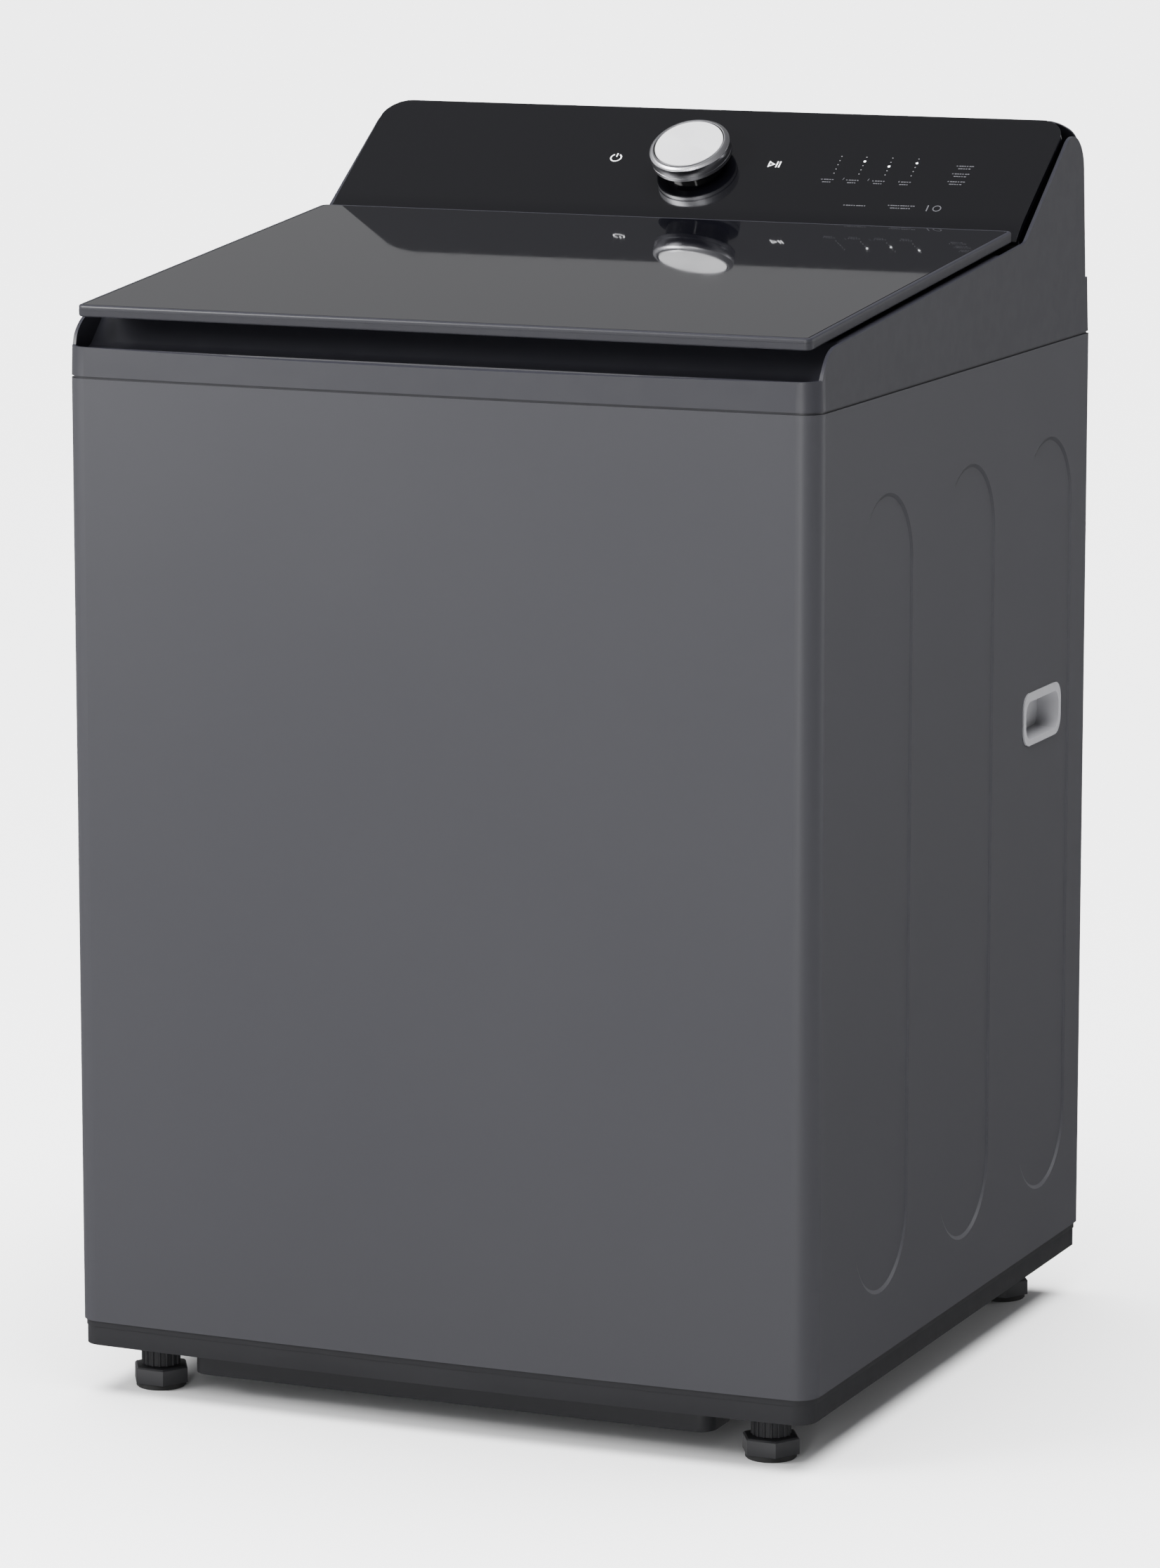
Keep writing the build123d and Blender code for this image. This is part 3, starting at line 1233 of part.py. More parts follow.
def build_all():
    """Build every piece of the machine."""
    build_cabinet_shell()
    build_back_panel()
    build_back_screws()
    build_base_frame()
    build_front_skirt()
    build_feet()
    build_foot_lock_nuts()
    build_grips()
    build_top_cover()
    build_console_panel()
    build_console_back_cover()
    build_lid_brackets()
    build_lid_bumpers()
    build_lid_lock()
    build_lid_glass()
    build_lid_frame()
    build_lid_hinges()
    build_lid_striker()
    build_knob()
    build_control_board()
    build_water_inlet()
    build_dispenser()
    build_outer_tub()
    build_tub_cover()
    build_drive()
    build_basket()
    build_wash_plate()
    build_suspension()
    build_drain()
    build_cord_gland()


build_all()
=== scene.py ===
"""Looks of a top load washing machine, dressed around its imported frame.

Metres, +Z up, front towards -Y, origin on the floor under the middle of the machine.
Every finish is a procedural material, and every new piece is built in mesh code.
"""

import json
import logging
import math
from collections.abc import Callable, Sequence
from dataclasses import dataclass
from enum import Enum

import bmesh
import bpy
from mathutils import Matrix, Vector


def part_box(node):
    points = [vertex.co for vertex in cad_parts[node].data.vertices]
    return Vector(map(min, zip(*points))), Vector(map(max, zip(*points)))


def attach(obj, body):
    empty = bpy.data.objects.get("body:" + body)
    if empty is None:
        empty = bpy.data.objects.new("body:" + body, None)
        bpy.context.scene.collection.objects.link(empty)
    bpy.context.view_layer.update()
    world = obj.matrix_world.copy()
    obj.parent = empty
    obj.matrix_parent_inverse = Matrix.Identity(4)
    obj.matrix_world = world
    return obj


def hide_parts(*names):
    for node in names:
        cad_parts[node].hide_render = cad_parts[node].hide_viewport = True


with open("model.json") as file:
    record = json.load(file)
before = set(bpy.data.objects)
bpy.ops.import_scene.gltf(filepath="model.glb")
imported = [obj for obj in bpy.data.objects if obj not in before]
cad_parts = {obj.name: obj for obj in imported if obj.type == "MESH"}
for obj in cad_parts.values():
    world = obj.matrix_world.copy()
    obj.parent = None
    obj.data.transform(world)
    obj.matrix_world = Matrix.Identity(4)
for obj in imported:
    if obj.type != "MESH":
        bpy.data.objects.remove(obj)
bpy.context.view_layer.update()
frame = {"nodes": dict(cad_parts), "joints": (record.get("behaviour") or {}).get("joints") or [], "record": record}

LOG = logging.getLogger("washing_machine")
MM = 0.001
Colour = tuple[float, float, float]
Pair = tuple[float, float]
Socket = bpy.types.NodeSocket


class Slot(Enum):
    """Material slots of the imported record."""

    CABINET_STEEL = "cabinet_steel"
    BACK_STEEL = "back_steel"
    COVER_PLASTIC = "cover_plastic"
    BASE_PLASTIC = "base_plastic"
    CONSOLE_GLOSS = "console_gloss"
    LID_GLASS = "lid_glass"
    GRIP_PLASTIC = "grip_plastic"
    KNOB_METAL = "knob_metal"
    KNOB_SILVER = "knob_silver"
    RUBBER = "rubber"
    FOOT_PLASTIC = "foot_plastic"
    STEEL = "steel"
    ZINC = "zinc"
    TUB_PLASTIC = "tub_plastic"
    WHITE_PLASTIC = "white_plastic"
    BLUE_PLASTIC = "blue_plastic"
    MOTOR_STEEL = "motor_steel"
    PCB = "pcb"


class Axis3(Enum):
    """Directions that a brushed or drawn metal can run in."""

    X = 0
    Y = 1
    Z = 2


# ---- shader graphs ---------------------------------------------------------------------------
class Graph:
    """Wires the nodes of one material around a Principled shader."""

    def __init__(self, name: str) -> None:
        """Start an empty material.

        Args:
            name: name of the material.
        """
        self.material = bpy.data.materials.new(name)
        self.material.use_nodes = True
        tree = self.material.node_tree
        tree.nodes.clear()
        self.nodes = tree.nodes
        self.links = tree.links
        self.shader = self.nodes.new("ShaderNodeBsdfPrincipled")
        output = self.nodes.new("ShaderNodeOutputMaterial")
        self.links.new(self.shader.outputs[0], output.inputs[0])
        self.place = self.nodes.new("ShaderNodeTexCoord").outputs["Object"]

    def node(self, kind: str, inputs: dict[str | int, object],
             **settings: object) -> bpy.types.Node:
        """Add a node and connect or set its inputs.

        Args:
            kind: Blender's type name of the node.
            inputs: values or sockets by input name or index.
            settings: plain properties of the node.

        Returns:
            The new node.
        """
        made = self.nodes.new(kind)
        for key, value in settings.items():
            setattr(made, key, value)
        for key, value in inputs.items():
            if isinstance(value, Socket):
                self.links.new(value, made.inputs[key])
            else:
                made.inputs[key].default_value = value
        return made

    def stretched(self, stretch: Colour) -> Socket:
        """The object's coordinates, scaled differently along each axis."""
        return self.node("ShaderNodeMapping", {"Vector": self.place, "Scale": stretch}).outputs[0]

    def noise(self, scale: float, detail: float = 3.0, where: Socket | None = None) -> Socket:
        """Fractal noise with that many features a metre."""
        return self.node("ShaderNodeTexNoise", {"Vector": where or self.place, "Scale": scale,
                                                "Detail": detail, "Roughness": 0.55}).outputs[0]

    def cells(self, scale: float, feature: str = "F1") -> Socket:
        """Distance field of small cells, with that many a metre."""
        return self.node("ShaderNodeTexVoronoi", {"Vector": self.place, "Scale": scale},
                         feature=feature).outputs["Distance"]

    def span(self, value: Socket, low: float, high: float, start: float = 0.0,
             end: float = 1.0) -> Socket:
        """Map start..end of a value to low..high, with a smooth ease.

        Args:
            value: the socket that is read.
            low: result at start.
            high: result at end.
            start: lower end of the value.
            end: upper end of the value.

        Returns:
            The mapped value.
        """
        mapped = self.node("ShaderNodeMapRange", {"Value": value, "From Min": start,
                                                  "From Max": end, "To Min": low, "To Max": high},
                           interpolation_type="SMOOTHSTEP")
        return mapped.outputs[0]

    def blend(self, factor: Socket, first: Colour, second: Colour) -> Socket:
        """Mix two colours by a factor."""
        mixed = self.node("ShaderNodeMix", {0: factor, 6: (*first, 1), 7: (*second, 1)},
                          data_type="RGBA")
        return mixed.outputs[2]

    def bump(self, height: Socket, depth: float, below: Socket | None = None) -> Socket:
        """Surface relief.

        Args:
            height: height field, 0 to 1.
            depth: depth of the relief in metres.
            below: normal that this relief lies on.

        Returns:
            The normal.
        """
        inputs: dict[str | int, object] = {"Height": height, "Distance": depth, "Strength": 1.0}
        if below is not None:
            inputs["Normal"] = below
        return self.node("ShaderNodeBump", inputs).outputs[0]

    def set(self, **values: object) -> None:
        """Set or connect inputs of the shader; underscores stand for spaces."""
        for key, value in values.items():
            socket = self.shader.inputs[key.replace("_", " ")]
            if isinstance(value, Socket):
                self.links.new(value, socket)
            else:
                socket.default_value = value


def shade(colour: Colour, factor: float) -> Colour:
    """A colour made lighter or darker by a factor."""
    return tuple(min(1.0, c * factor) for c in colour)


@dataclass(frozen=True)
class Finish:
    """Base of every finish.

    Attributes:
        name: name of the material.
        colour: main colour, linear.
        roughness: middle roughness.
    """

    name: str
    colour: Colour
    roughness: float

    def build(self) -> bpy.types.Material:
        """Make the material once and return it."""
        found = bpy.data.materials.get(self.name)
        if found is not None and found.get("dressed"):
            return found
        if found is not None:
            found.name = self.name + "_packed"
        graph = Graph(self.name)
        self.wire(graph)
        graph.material["dressed"] = True
        return graph.material

    def wire(self, graph: Graph) -> None:
        """Connect the nodes of this finish."""
        raise NotImplementedError


@dataclass(frozen=True)
class SatinPaint(Finish):
    """Baked satin paint with fine metal flake and a slight orange peel.

    Attributes:
        metallic: how metallic the paint looks.
        flake: contrast of the flakes.
        peel: depth of the orange peel in metres.
        specular: strength of the reflection.
    """

    metallic: float = 0.3
    flake: float = 0.18
    peel: float = 0.000006
    specular: float = 0.5

    def wire(self, graph: Graph) -> None:
        """Connect the nodes of this finish."""
        flakes = graph.noise(5200.0, 1.0)
        cloud = graph.noise(2.2, 2.0)
        tone = graph.blend(flakes, shade(self.colour, 1 - self.flake),
                           shade(self.colour, 1 + self.flake))
        graph.set(Base_Color=tone, Metallic=self.metallic, Specular_IOR_Level=self.specular,
                  Roughness=graph.span(cloud, self.roughness - 0.025, self.roughness + 0.025,
                                       0.3, 0.7),
                  Normal=graph.bump(graph.noise(520.0, 2.0), self.peel))


@dataclass(frozen=True)
class MouldedPlastic(Finish):
    """Injection moulded plastic with a fine spark-eroded grain.

    Attributes:
        grain: cells of the grain a metre.
        depth: depth of the grain in metres.
        metallic: share of metal pigment.
        specular: strength of the reflection.
    """

    grain: float = 1500.0
    depth: float = 0.000012
    metallic: float = 0.0
    specular: float = 0.5

    def wire(self, graph: Graph) -> None:
        """Connect the nodes of this finish."""
        cloud = graph.noise(7.0, 3.0)
        fine = graph.cells(self.grain)
        tone = graph.blend(cloud, shade(self.colour, 0.93), shade(self.colour, 1.07))
        graph.set(Base_Color=tone, Metallic=self.metallic, Specular_IOR_Level=self.specular,
                  Roughness=graph.span(graph.noise(60.0, 4.0), self.roughness - 0.02,
                                       self.roughness + 0.02, 0.3, 0.7),
                  Normal=graph.bump(fine, self.depth, graph.bump(graph.noise(340.0), self.depth)))


@dataclass(frozen=True)
class GlossPlastic(Finish):
    """Deep black gloss plastic with faint wipe marks.

    Attributes:
        coat: strength of the clear coat.
    """

    coat: float = 0.3

    def wire(self, graph: Graph) -> None:
        """Connect the nodes of this finish."""
        wipes = graph.noise(16.0, 5.0, graph.stretched((1.0, 3.0, 3.0)))
        dust = graph.noise(900.0, 2.0)
        graph.set(Base_Color=graph.blend(graph.span(dust, 0.0, 1.0, 0.72, 0.86), self.colour,
                                         shade(self.colour, 1.8)),
                  Coat_Weight=self.coat, Coat_Roughness=0.04,
                  Roughness=graph.span(wipes, self.roughness * 0.7, self.roughness * 1.3, 0.3, 0.7),
                  Normal=graph.bump(graph.noise(26.0, 1.0), 0.000012))


@dataclass(frozen=True)
class TintedGlass(Finish):
    """Back-printed dark tempered glass with a faint roller wave."""

    def wire(self, graph: Graph) -> None:
        """Connect the nodes of this finish."""
        wave = graph.noise(7.0, 1.0, graph.stretched((0.4, 1.0, 1.0)))
        smear = graph.noise(24.0, 5.0, graph.stretched((2.5, 1.0, 1.0)))
        graph.set(Base_Color=graph.blend(graph.noise(3.0, 2.0), shade(self.colour, 0.95),
                                         shade(self.colour, 1.05)),
                  IOR=1.52, Roughness=graph.span(smear, self.roughness * 0.8, self.roughness * 1.3,
                                                 0.35, 0.75),
                  Normal=graph.bump(wave, 0.000015))


@dataclass(frozen=True)
class SpunMetal(Finish):
    """Aluminium turned on a lathe: concentric grooves and a streak that follows the light.

    Attributes:
        metallic: share of bare metal; the rest is a matt anodised skin.
    """

    metallic: float = 1.0

    def wire(self, graph: Graph) -> None:
        """Connect the nodes of this finish."""
        rings = graph.node("ShaderNodeTexWave", {"Vector": graph.place, "Scale": 700.0,
                                                 "Distortion": 1.5, "Detail": 2.0,
                                                 "Detail Scale": 6.0},
                           wave_type="RINGS", rings_direction="Z").outputs[1]
        around = graph.node("ShaderNodeTangent", {}, direction_type="RADIAL", axis="Z").outputs[0]
        fine = graph.noise(2400.0, 2.0)
        graph.set(Base_Color=graph.blend(fine, shade(self.colour, 0.9), shade(self.colour, 1.05)),
                  Metallic=self.metallic, Anisotropic=0.86, Tangent=around,
                  Roughness=graph.span(rings, self.roughness * 0.85, self.roughness * 1.15),
                  Normal=graph.bump(rings, 0.000004))


@dataclass(frozen=True)
class BrushedMetal(Finish):
    """Metal with drawn or rolled lines along one axis.

    Attributes:
        along: axis that the lines run along.
        lines: lines a metre across that axis.
    """

    along: Axis3 = Axis3.Z
    lines: float = 1500.0

    def wire(self, graph: Graph) -> None:
        """Connect the nodes of this finish."""
        stretch = [1.0, 1.0, 1.0]
        stretch[self.along.value] = 0.02
        streak = graph.noise(self.lines, 3.0, graph.stretched(tuple(stretch)))
        tone = graph.blend(streak, shade(self.colour, 0.85), shade(self.colour, 1.1))
        graph.set(Base_Color=tone, Metallic=1.0,
                  Roughness=graph.span(streak, self.roughness - 0.07, self.roughness + 0.07,
                                       0.3, 0.7),
                  Normal=graph.bump(streak, 0.000005))


@dataclass(frozen=True)
class ZincPlate(Finish):
    """Galvanised steel with its crystal spangle."""

    def wire(self, graph: Graph) -> None:
        """Connect the nodes of this finish."""
        spangle = graph.node("ShaderNodeTexVoronoi", {"Vector": graph.place, "Scale": 160.0})
        tint = graph.node("ShaderNodeSeparateColor", {0: spangle.outputs["Color"]}).outputs[0]
        graph.set(Base_Color=graph.blend(tint, shade(self.colour, 0.75), shade(self.colour, 1.15)),
                  Metallic=0.9,
                  Roughness=graph.span(tint, self.roughness - 0.1, self.roughness + 0.1),
                  Normal=graph.bump(graph.noise(800.0), 0.000008))


@dataclass(frozen=True)
class MouldedRubber(Finish):
    """Matte rubber with bloom and a fine tooth."""

    def wire(self, graph: Graph) -> None:
        """Connect the nodes of this finish."""
        bloom = graph.noise(45.0, 5.0)
        graph.set(Base_Color=graph.blend(graph.span(bloom, 0.0, 1.0, 0.45, 0.8), self.colour,
                                         shade(self.colour, 2.2)),
                  Roughness=graph.span(bloom, self.roughness - 0.08, self.roughness + 0.05),
                  Specular_IOR_Level=0.35, Normal=graph.bump(graph.cells(1100.0), 0.00003))


@dataclass(frozen=True)
class CircuitBoard(Finish):
    """Solder-masked board with copper tracks showing through."""

    def wire(self, graph: Graph) -> None:
        """Connect the nodes of this finish."""
        tracks = graph.node("ShaderNodeTexBrick", {"Vector": graph.place, "Scale": 60.0,
                                                   "Mortar Size": 0.03, "Brick Width": 0.7,
                                                   "Row Height": 0.16}).outputs["Fac"]
        graph.set(Base_Color=graph.blend(tracks, self.colour, shade(self.colour, 2.4)),
                  Roughness=graph.span(tracks, self.roughness, self.roughness + 0.15),
                  Coat_Weight=0.4, Normal=graph.bump(tracks, 0.00004))


@dataclass(frozen=True)
class PrintedInk(Finish):
    """Screen-printed ink: slightly uneven cover on a gloss panel."""

    def wire(self, graph: Graph) -> None:
        """Connect the nodes of this finish."""
        screen = graph.cells(4200.0)
        graph.set(Base_Color=graph.blend(screen, self.colour, shade(self.colour, 0.86)),
                  Roughness=graph.span(graph.noise(300.0), self.roughness - 0.05,
                                       self.roughness + 0.05),
                  Normal=graph.bump(screen, 0.000006))


@dataclass(frozen=True)
class LampLens(Finish):
    """Small lit lens.

    Attributes:
        glow: strength of the light it gives.
    """

    glow: float = 2.0

    def wire(self, graph: Graph) -> None:
        """Connect the nodes of this finish."""
        graph.set(Base_Color=graph.blend(graph.noise(900.0), self.colour, shade(self.colour, 0.8)),
                  Roughness=self.roughness, Emission_Color=(*self.colour, 1.0),
                  Emission_Strength=self.glow)


@dataclass(frozen=True)
class PaleFloor(Finish):
    """Pale matte studio floor."""

    def wire(self, graph: Graph) -> None:
        """Connect the nodes of this finish."""
        cloud = graph.noise(1.3, 3.0)
        graph.set(Base_Color=graph.blend(cloud, shade(self.colour, 0.985), self.colour),
                  Roughness=self.roughness, Specular_IOR_Level=0.1)


FINISHES: dict[Slot, Finish] = {
    Slot.CABINET_STEEL: SatinPaint("cabinet_steel", (0.019, 0.019, 0.023), 0.42, 0.0, 0.2,
                                   0.000005, 0.5),
    Slot.BACK_STEEL: SatinPaint("back_steel", (0.23, 0.235, 0.245), 0.45, 0.5, 0.25, 0.000008),
    Slot.COVER_PLASTIC: MouldedPlastic("cover_plastic", (0.013, 0.013, 0.017), 0.42, 1700.0,
                                       0.0000015, 0.0),
    Slot.BASE_PLASTIC: MouldedPlastic("base_plastic", (0.008, 0.008, 0.010), 0.55, 1300.0, 0.00002),
    Slot.CONSOLE_GLOSS: GlossPlastic("console_gloss", (0.0012, 0.0012, 0.0018), 0.10, 0.3),
    Slot.LID_GLASS: TintedGlass("lid_glass", (0.002, 0.002, 0.003), 0.035),
    Slot.GRIP_PLASTIC: MouldedPlastic("grip_plastic", (0.16, 0.16, 0.17), 0.48, 1400.0, 0.00001),
    Slot.KNOB_METAL: SpunMetal("knob_metal", (0.86, 0.86, 0.88), 0.30, 0.55),
    Slot.KNOB_SILVER: SpunMetal("knob_silver", (0.62, 0.62, 0.65), 0.26),
    Slot.RUBBER: MouldedRubber("rubber", (0.010, 0.010, 0.010), 0.78),
    Slot.FOOT_PLASTIC: MouldedPlastic("foot_plastic", (0.018, 0.018, 0.020), 0.5),
    Slot.STEEL: BrushedMetal("steel", (0.55, 0.56, 0.58), 0.30, Axis3.Z),
    Slot.ZINC: ZincPlate("zinc", (0.52, 0.53, 0.55), 0.42),
    Slot.TUB_PLASTIC: MouldedPlastic("tub_plastic", (0.50, 0.51, 0.52), 0.5, 900.0, 0.00002),
    Slot.WHITE_PLASTIC: MouldedPlastic("white_plastic", (0.66, 0.67, 0.69), 0.4),
    Slot.BLUE_PLASTIC: MouldedPlastic("blue_plastic", (0.10, 0.24, 0.44), 0.35),
    Slot.MOTOR_STEEL: SatinPaint("motor_steel", (0.08, 0.08, 0.09), 0.5, 0.6, 0.3, 0.00002),
    Slot.PCB: CircuitBoard("pcb", (0.012, 0.075, 0.03), 0.4),
}

INK_WHITE = PrintedInk("ink_white", (0.80, 0.80, 0.82), 0.5)
INK_GREY = PrintedInk("ink_grey", (0.055, 0.055, 0.062), 0.5)
LAMP_WHITE = LampLens("lamp_white", (0.95, 0.97, 1.0), 0.3, 3.0)
LAMP_OFF = LampLens("lamp_off", (0.14, 0.14, 0.15), 0.3, 0.0)
FLOOR_PAINT = PaleFloor("floor_paint", (0.86, 0.86, 0.865), 0.9)


# ---- mesh helpers ----------------------------------------------------------------------------
def make_object(name: str, vertices: Sequence[Sequence[float]], faces: Sequence[Sequence[int]],
                finish: Finish, smooth: bool = True, at: Matrix | None = None) -> bpy.types.Object:
    """Make a mesh object from plain lists, merged and with its faces turned outwards.

    Args:
        name: name of the piece.
        vertices: points in the object's own frame, in metres.
        faces: corner indices of each face.
        finish: finish of the whole piece.
        smooth: whether faces are shaded smoothly up to an angle.
        at: where the object's frame is in the row frame.

    Returns:
        The object.
    """
    mesh = bpy.data.meshes.new(name)
    mesh.from_pydata([tuple(v) for v in vertices], [], [tuple(f) for f in faces])
    work = bmesh.new()
    work.from_mesh(mesh)
    bmesh.ops.remove_doubles(work, verts=work.verts, dist=1e-6)
    bmesh.ops.recalc_face_normals(work, faces=work.faces)
    work.to_mesh(mesh)
    work.free()
    mesh.materials.append(finish.build())
    if smooth:
        for polygon in mesh.polygons:
            polygon.use_smooth = True
        mesh.set_sharp_from_angle(angle=math.radians(32))
    made = bpy.data.objects.new(name, mesh)
    bpy.context.scene.collection.objects.link(made)
    if at is not None:
        made.matrix_world = at
    return made


def lathe(profile: Sequence[Pair], steps: int) -> tuple[list[Colour], list[tuple[int, ...]]]:
    """Turn a closed or open outline of (radius, height) round the Z axis.

    Args:
        profile: points of the outline, in metres.
        steps: number of steps round the axis.

    Returns:
        Vertices and faces.
    """
    vertices: list[Colour] = []
    for i in range(steps):
        turn = math.tau * i / steps
        vertices += [(r * math.cos(turn), r * math.sin(turn), z) for r, z in profile]
    count = len(profile)
    faces = []
    for i in range(steps):
        here, there = i * count, (i + 1) % steps * count
        faces += [(here + k, there + k, there + k + 1, here + k + 1) for k in range(count - 1)]
    return vertices, faces


def clean_fans(made: bpy.types.Object) -> None:
    """Drop the zero-size faces that a lathe leaves on its axis."""
    work = bmesh.new()
    work.from_mesh(made.data)
    bmesh.ops.dissolve_degenerate(work, dist=1e-7, edges=work.edges)
    work.to_mesh(made.data)
    work.free()


def rounded_loop(half: float, low: float, high: float, radius: float,
                 steps: int = 8) -> list[Pair]:
    """Rounded rectangle from (-half, low) to (half, high), counter-clockwise.

    Args:
        half: half of its width.
        low: lower edge.
        high: upper edge.
        radius: corner radius.
        steps: steps in each corner.

    Returns:
        Its points.
    """
    corners = ((half - radius, low + radius, -90), (half - radius, high - radius, 0),
               (-half + radius, high - radius, 90), (-half + radius, low + radius, 180))
    points = []
    for x, y, start in corners:
        for k in range(steps + 1):
            turn = math.radians(start + 90 * k / steps)
            points.append((x + radius * math.cos(turn), y + radius * math.sin(turn)))
    return points


def loft(loops: Sequence[Sequence[Colour]], cap_last: bool) -> tuple[list[Colour], list[tuple]]:
    """Bridge closed loops that have the same number of points.

    Args:
        loops: the loops in order.
        cap_last: whether the last loop is filled.

    Returns:
        Vertices and faces.
    """
    count = len(loops[0])
    vertices = [p for loop in loops for p in loop]
    faces: list[tuple] = []
    for i in range(len(loops) - 1):
        a, b = i * count, (i + 1) * count
        faces += [(a + k, a + (k + 1) % count, b + (k + 1) % count, b + k) for k in range(count)]
    if cap_last:
        faces.append(tuple(range((len(loops) - 1) * count, len(loops) * count)))
    return vertices, faces


def slab(outline: Sequence[Pair], low: float, high: float) -> tuple[list[Colour], list[tuple]]:
    """Flat plate with that outline between two heights."""
    count = len(outline)
    vertices = [(x, y, low) for x, y in outline] + [(x, y, high) for x, y in outline]
    faces = [tuple(range(count)), tuple(range(count, 2 * count))]
    faces += [(k, (k + 1) % count, count + (k + 1) % count, count + k) for k in range(count)]
    return vertices, faces


def joint(name: str) -> dict:
    """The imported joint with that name."""
    return next(j for j in frame["joints"] if j["name"] == name)


def add_piece(made: bpy.types.Object, body: str,
              stands_for: Sequence[str] = ()) -> bpy.types.Object:
    """Let a piece ride on its body and report it.

    Args:
        made: the piece.
        body: CAD body that it moves with.
        stands_for: CAD nodes that it replaces.

    Returns:
        The piece.
    """
    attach(made, body)
    if stands_for:
        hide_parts(*stands_for)
    LOG.info("%s rides on %s", made.name, body)
    return made


def soften_edges(made: bpy.types.Object, width: float, segments: int, angle: float) -> None:
    """Round the sharp edges of a piece with a bevel modifier.

    Args:
        made: the piece.
        width: width of the rounding, in metres.
        segments: steps across it.
        angle: edges sharper than this are rounded, in degrees.
    """
    soft = made.modifiers.new("soft_edges", "BEVEL")
    soft.width = width
    soft.segments = segments
    soft.limit_method = "ANGLE"
    soft.angle_limit = math.radians(angle)
    soft.harden_normals = True


# ---- sub-assemblies --------------------------------------------------------------------------
@dataclass
class CadDress:
    """Finish of every CAD node that stays visible.

    Attributes:
        bevel: width of the softened edges on the outer pieces, in metres.
        softened: nodes that get them.
    """

    bevel: float = 0.0006
    softened: tuple[str, ...] = ("base_frame", "front_skirt", "foot_front_left", "foot_front_right",
                                 "foot_rear_left", "foot_rear_right")

    def dress(self) -> None:
        """Give each node the finish of its slot."""
        for part in frame["record"]["subparts"]:
            node = frame["nodes"][part["node"]]
            finish = FINISHES[Slot(part["material_slot"])]
            node.data.materials.clear()
            node.data.materials.append(finish.build())
            for polygon in node.data.polygons:
                polygon.use_smooth = True
            if part["node"] in self.softened:
                self.soften(node)
            LOG.info("%s wears %s", node.name, finish.name)

    def soften(self, node: bpy.types.Object) -> None:
        """Round the hard edges of a node slightly with modifiers."""
        weld = node.modifiers.new("weld", "WELD")
        weld.merge_threshold = 1e-5
        soften_edges(node, self.bevel, 2, 40)


@dataclass
class Lid:
    """Glass pane set flush in a rounded trim.

    Attributes:
        border: width of the trim round the pane.
        groove: gap between trim and pane.
        groove_depth: depth of that gap.
        corner: corner radius of the lid.
        depth: thickness of trim and pane.
    """

    border: float = 3.6 * MM
    groove: float = 0.7 * MM
    groove_depth: float = 1.4 * MM
    corner: float = 7.0 * MM
    depth: float = 4.0 * MM

    def plane(self) -> tuple[Matrix, float, float]:
        """The lid's own frame, half of its width and its length, from the CAD pane's box."""
        low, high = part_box("lid_frame")
        pane_low, pane_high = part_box("lid_glass")
        flat = max(frame["nodes"]["lid_glass"].data.polygons, key=lambda p: p.area)
        normal = flat.normal if flat.normal.z > 0 else -flat.normal
        along = Vector((0, normal.z, -normal.y))
        front = Vector((0, low.y, pane_low.z))
        top = max((v.co for v in frame["nodes"]["lid_glass"].data.vertices),
                  key=lambda co: co.dot(normal))
        origin = front + normal * (top - front).dot(normal)
        origin += along * ((low.y - origin.y) / along.y)
        length = (pane_high.y + 0.8 * MM * along.y - origin.y) / along.y
        turn = Matrix((Vector((1, 0, 0)), along, normal)).transposed().to_4x4()
        return Matrix.Translation(origin) @ turn, high.x, length

    def loops(self, half: float, length: float, steps: Sequence[Pair]) -> list[list[Colour]]:
        """Loops round the lid, each one inset by a distance and at a height."""
        return [[(x, y, height) for x, y in
                 rounded_loop(half - inset, inset, length - inset, max(self.corner - inset, 1.5 * MM))]
                for inset, height in steps]

    def build(self) -> None:
        """Make the trim and the pane."""
        at, half, length = self.plane()
        inner = self.border
        trim_steps = [(inner + self.groove / 2, -self.groove_depth), (inner, -self.groove_depth),
                      (inner, -0.25 * MM), (inner - 0.25 * MM, 0.0), (1.9 * MM, 0.0),
                      (1.2 * MM, -0.12 * MM), (0.55 * MM, -0.5 * MM), (0.14 * MM, -1.15 * MM),
                      (0.0, -1.9 * MM), (0.0, -self.depth)]
        vertices, faces = loft(self.loops(half, length, trim_steps), False)
        add_piece(make_object("lid_trim", vertices, faces, FINISHES[Slot.COVER_PLASTIC], at=at),
                  "lid")
        edge = inner + self.groove
        pane_steps = [(edge - self.groove / 2, -self.groove_depth), (edge, -self.groove_depth),
                      (edge, -0.2 * MM), (edge + 0.2 * MM, 0.0)]
        vertices, faces = loft(self.loops(half, length, pane_steps), True)
        add_piece(make_object("lid_pane", vertices, faces, FINISHES[Slot.LID_GLASS], at=at),
                  "lid", ("lid_glass",))


@dataclass
class Face:
    """Plane of the console's face, with its origin under the knob."""

    def __post_init__(self) -> None:
        """Read the knob joint's place and axis."""
        turn = joint("knob_turn")
        self.centre = Vector(turn["pos_m"])
        self.normal = Vector(turn["axis"]).normalized()
        self.up = Vector((0, self.normal.z, -self.normal.y))

    def matrix(self, proud: float = 0.0) -> Matrix:
        """Frame on the face: x to the right, y up the slope, z out of it."""
        turn = Matrix((Vector((1, 0, 0)), self.up, self.normal)).transposed().to_4x4()
        return Matrix.Translation(self.centre + self.normal * proud) @ turn


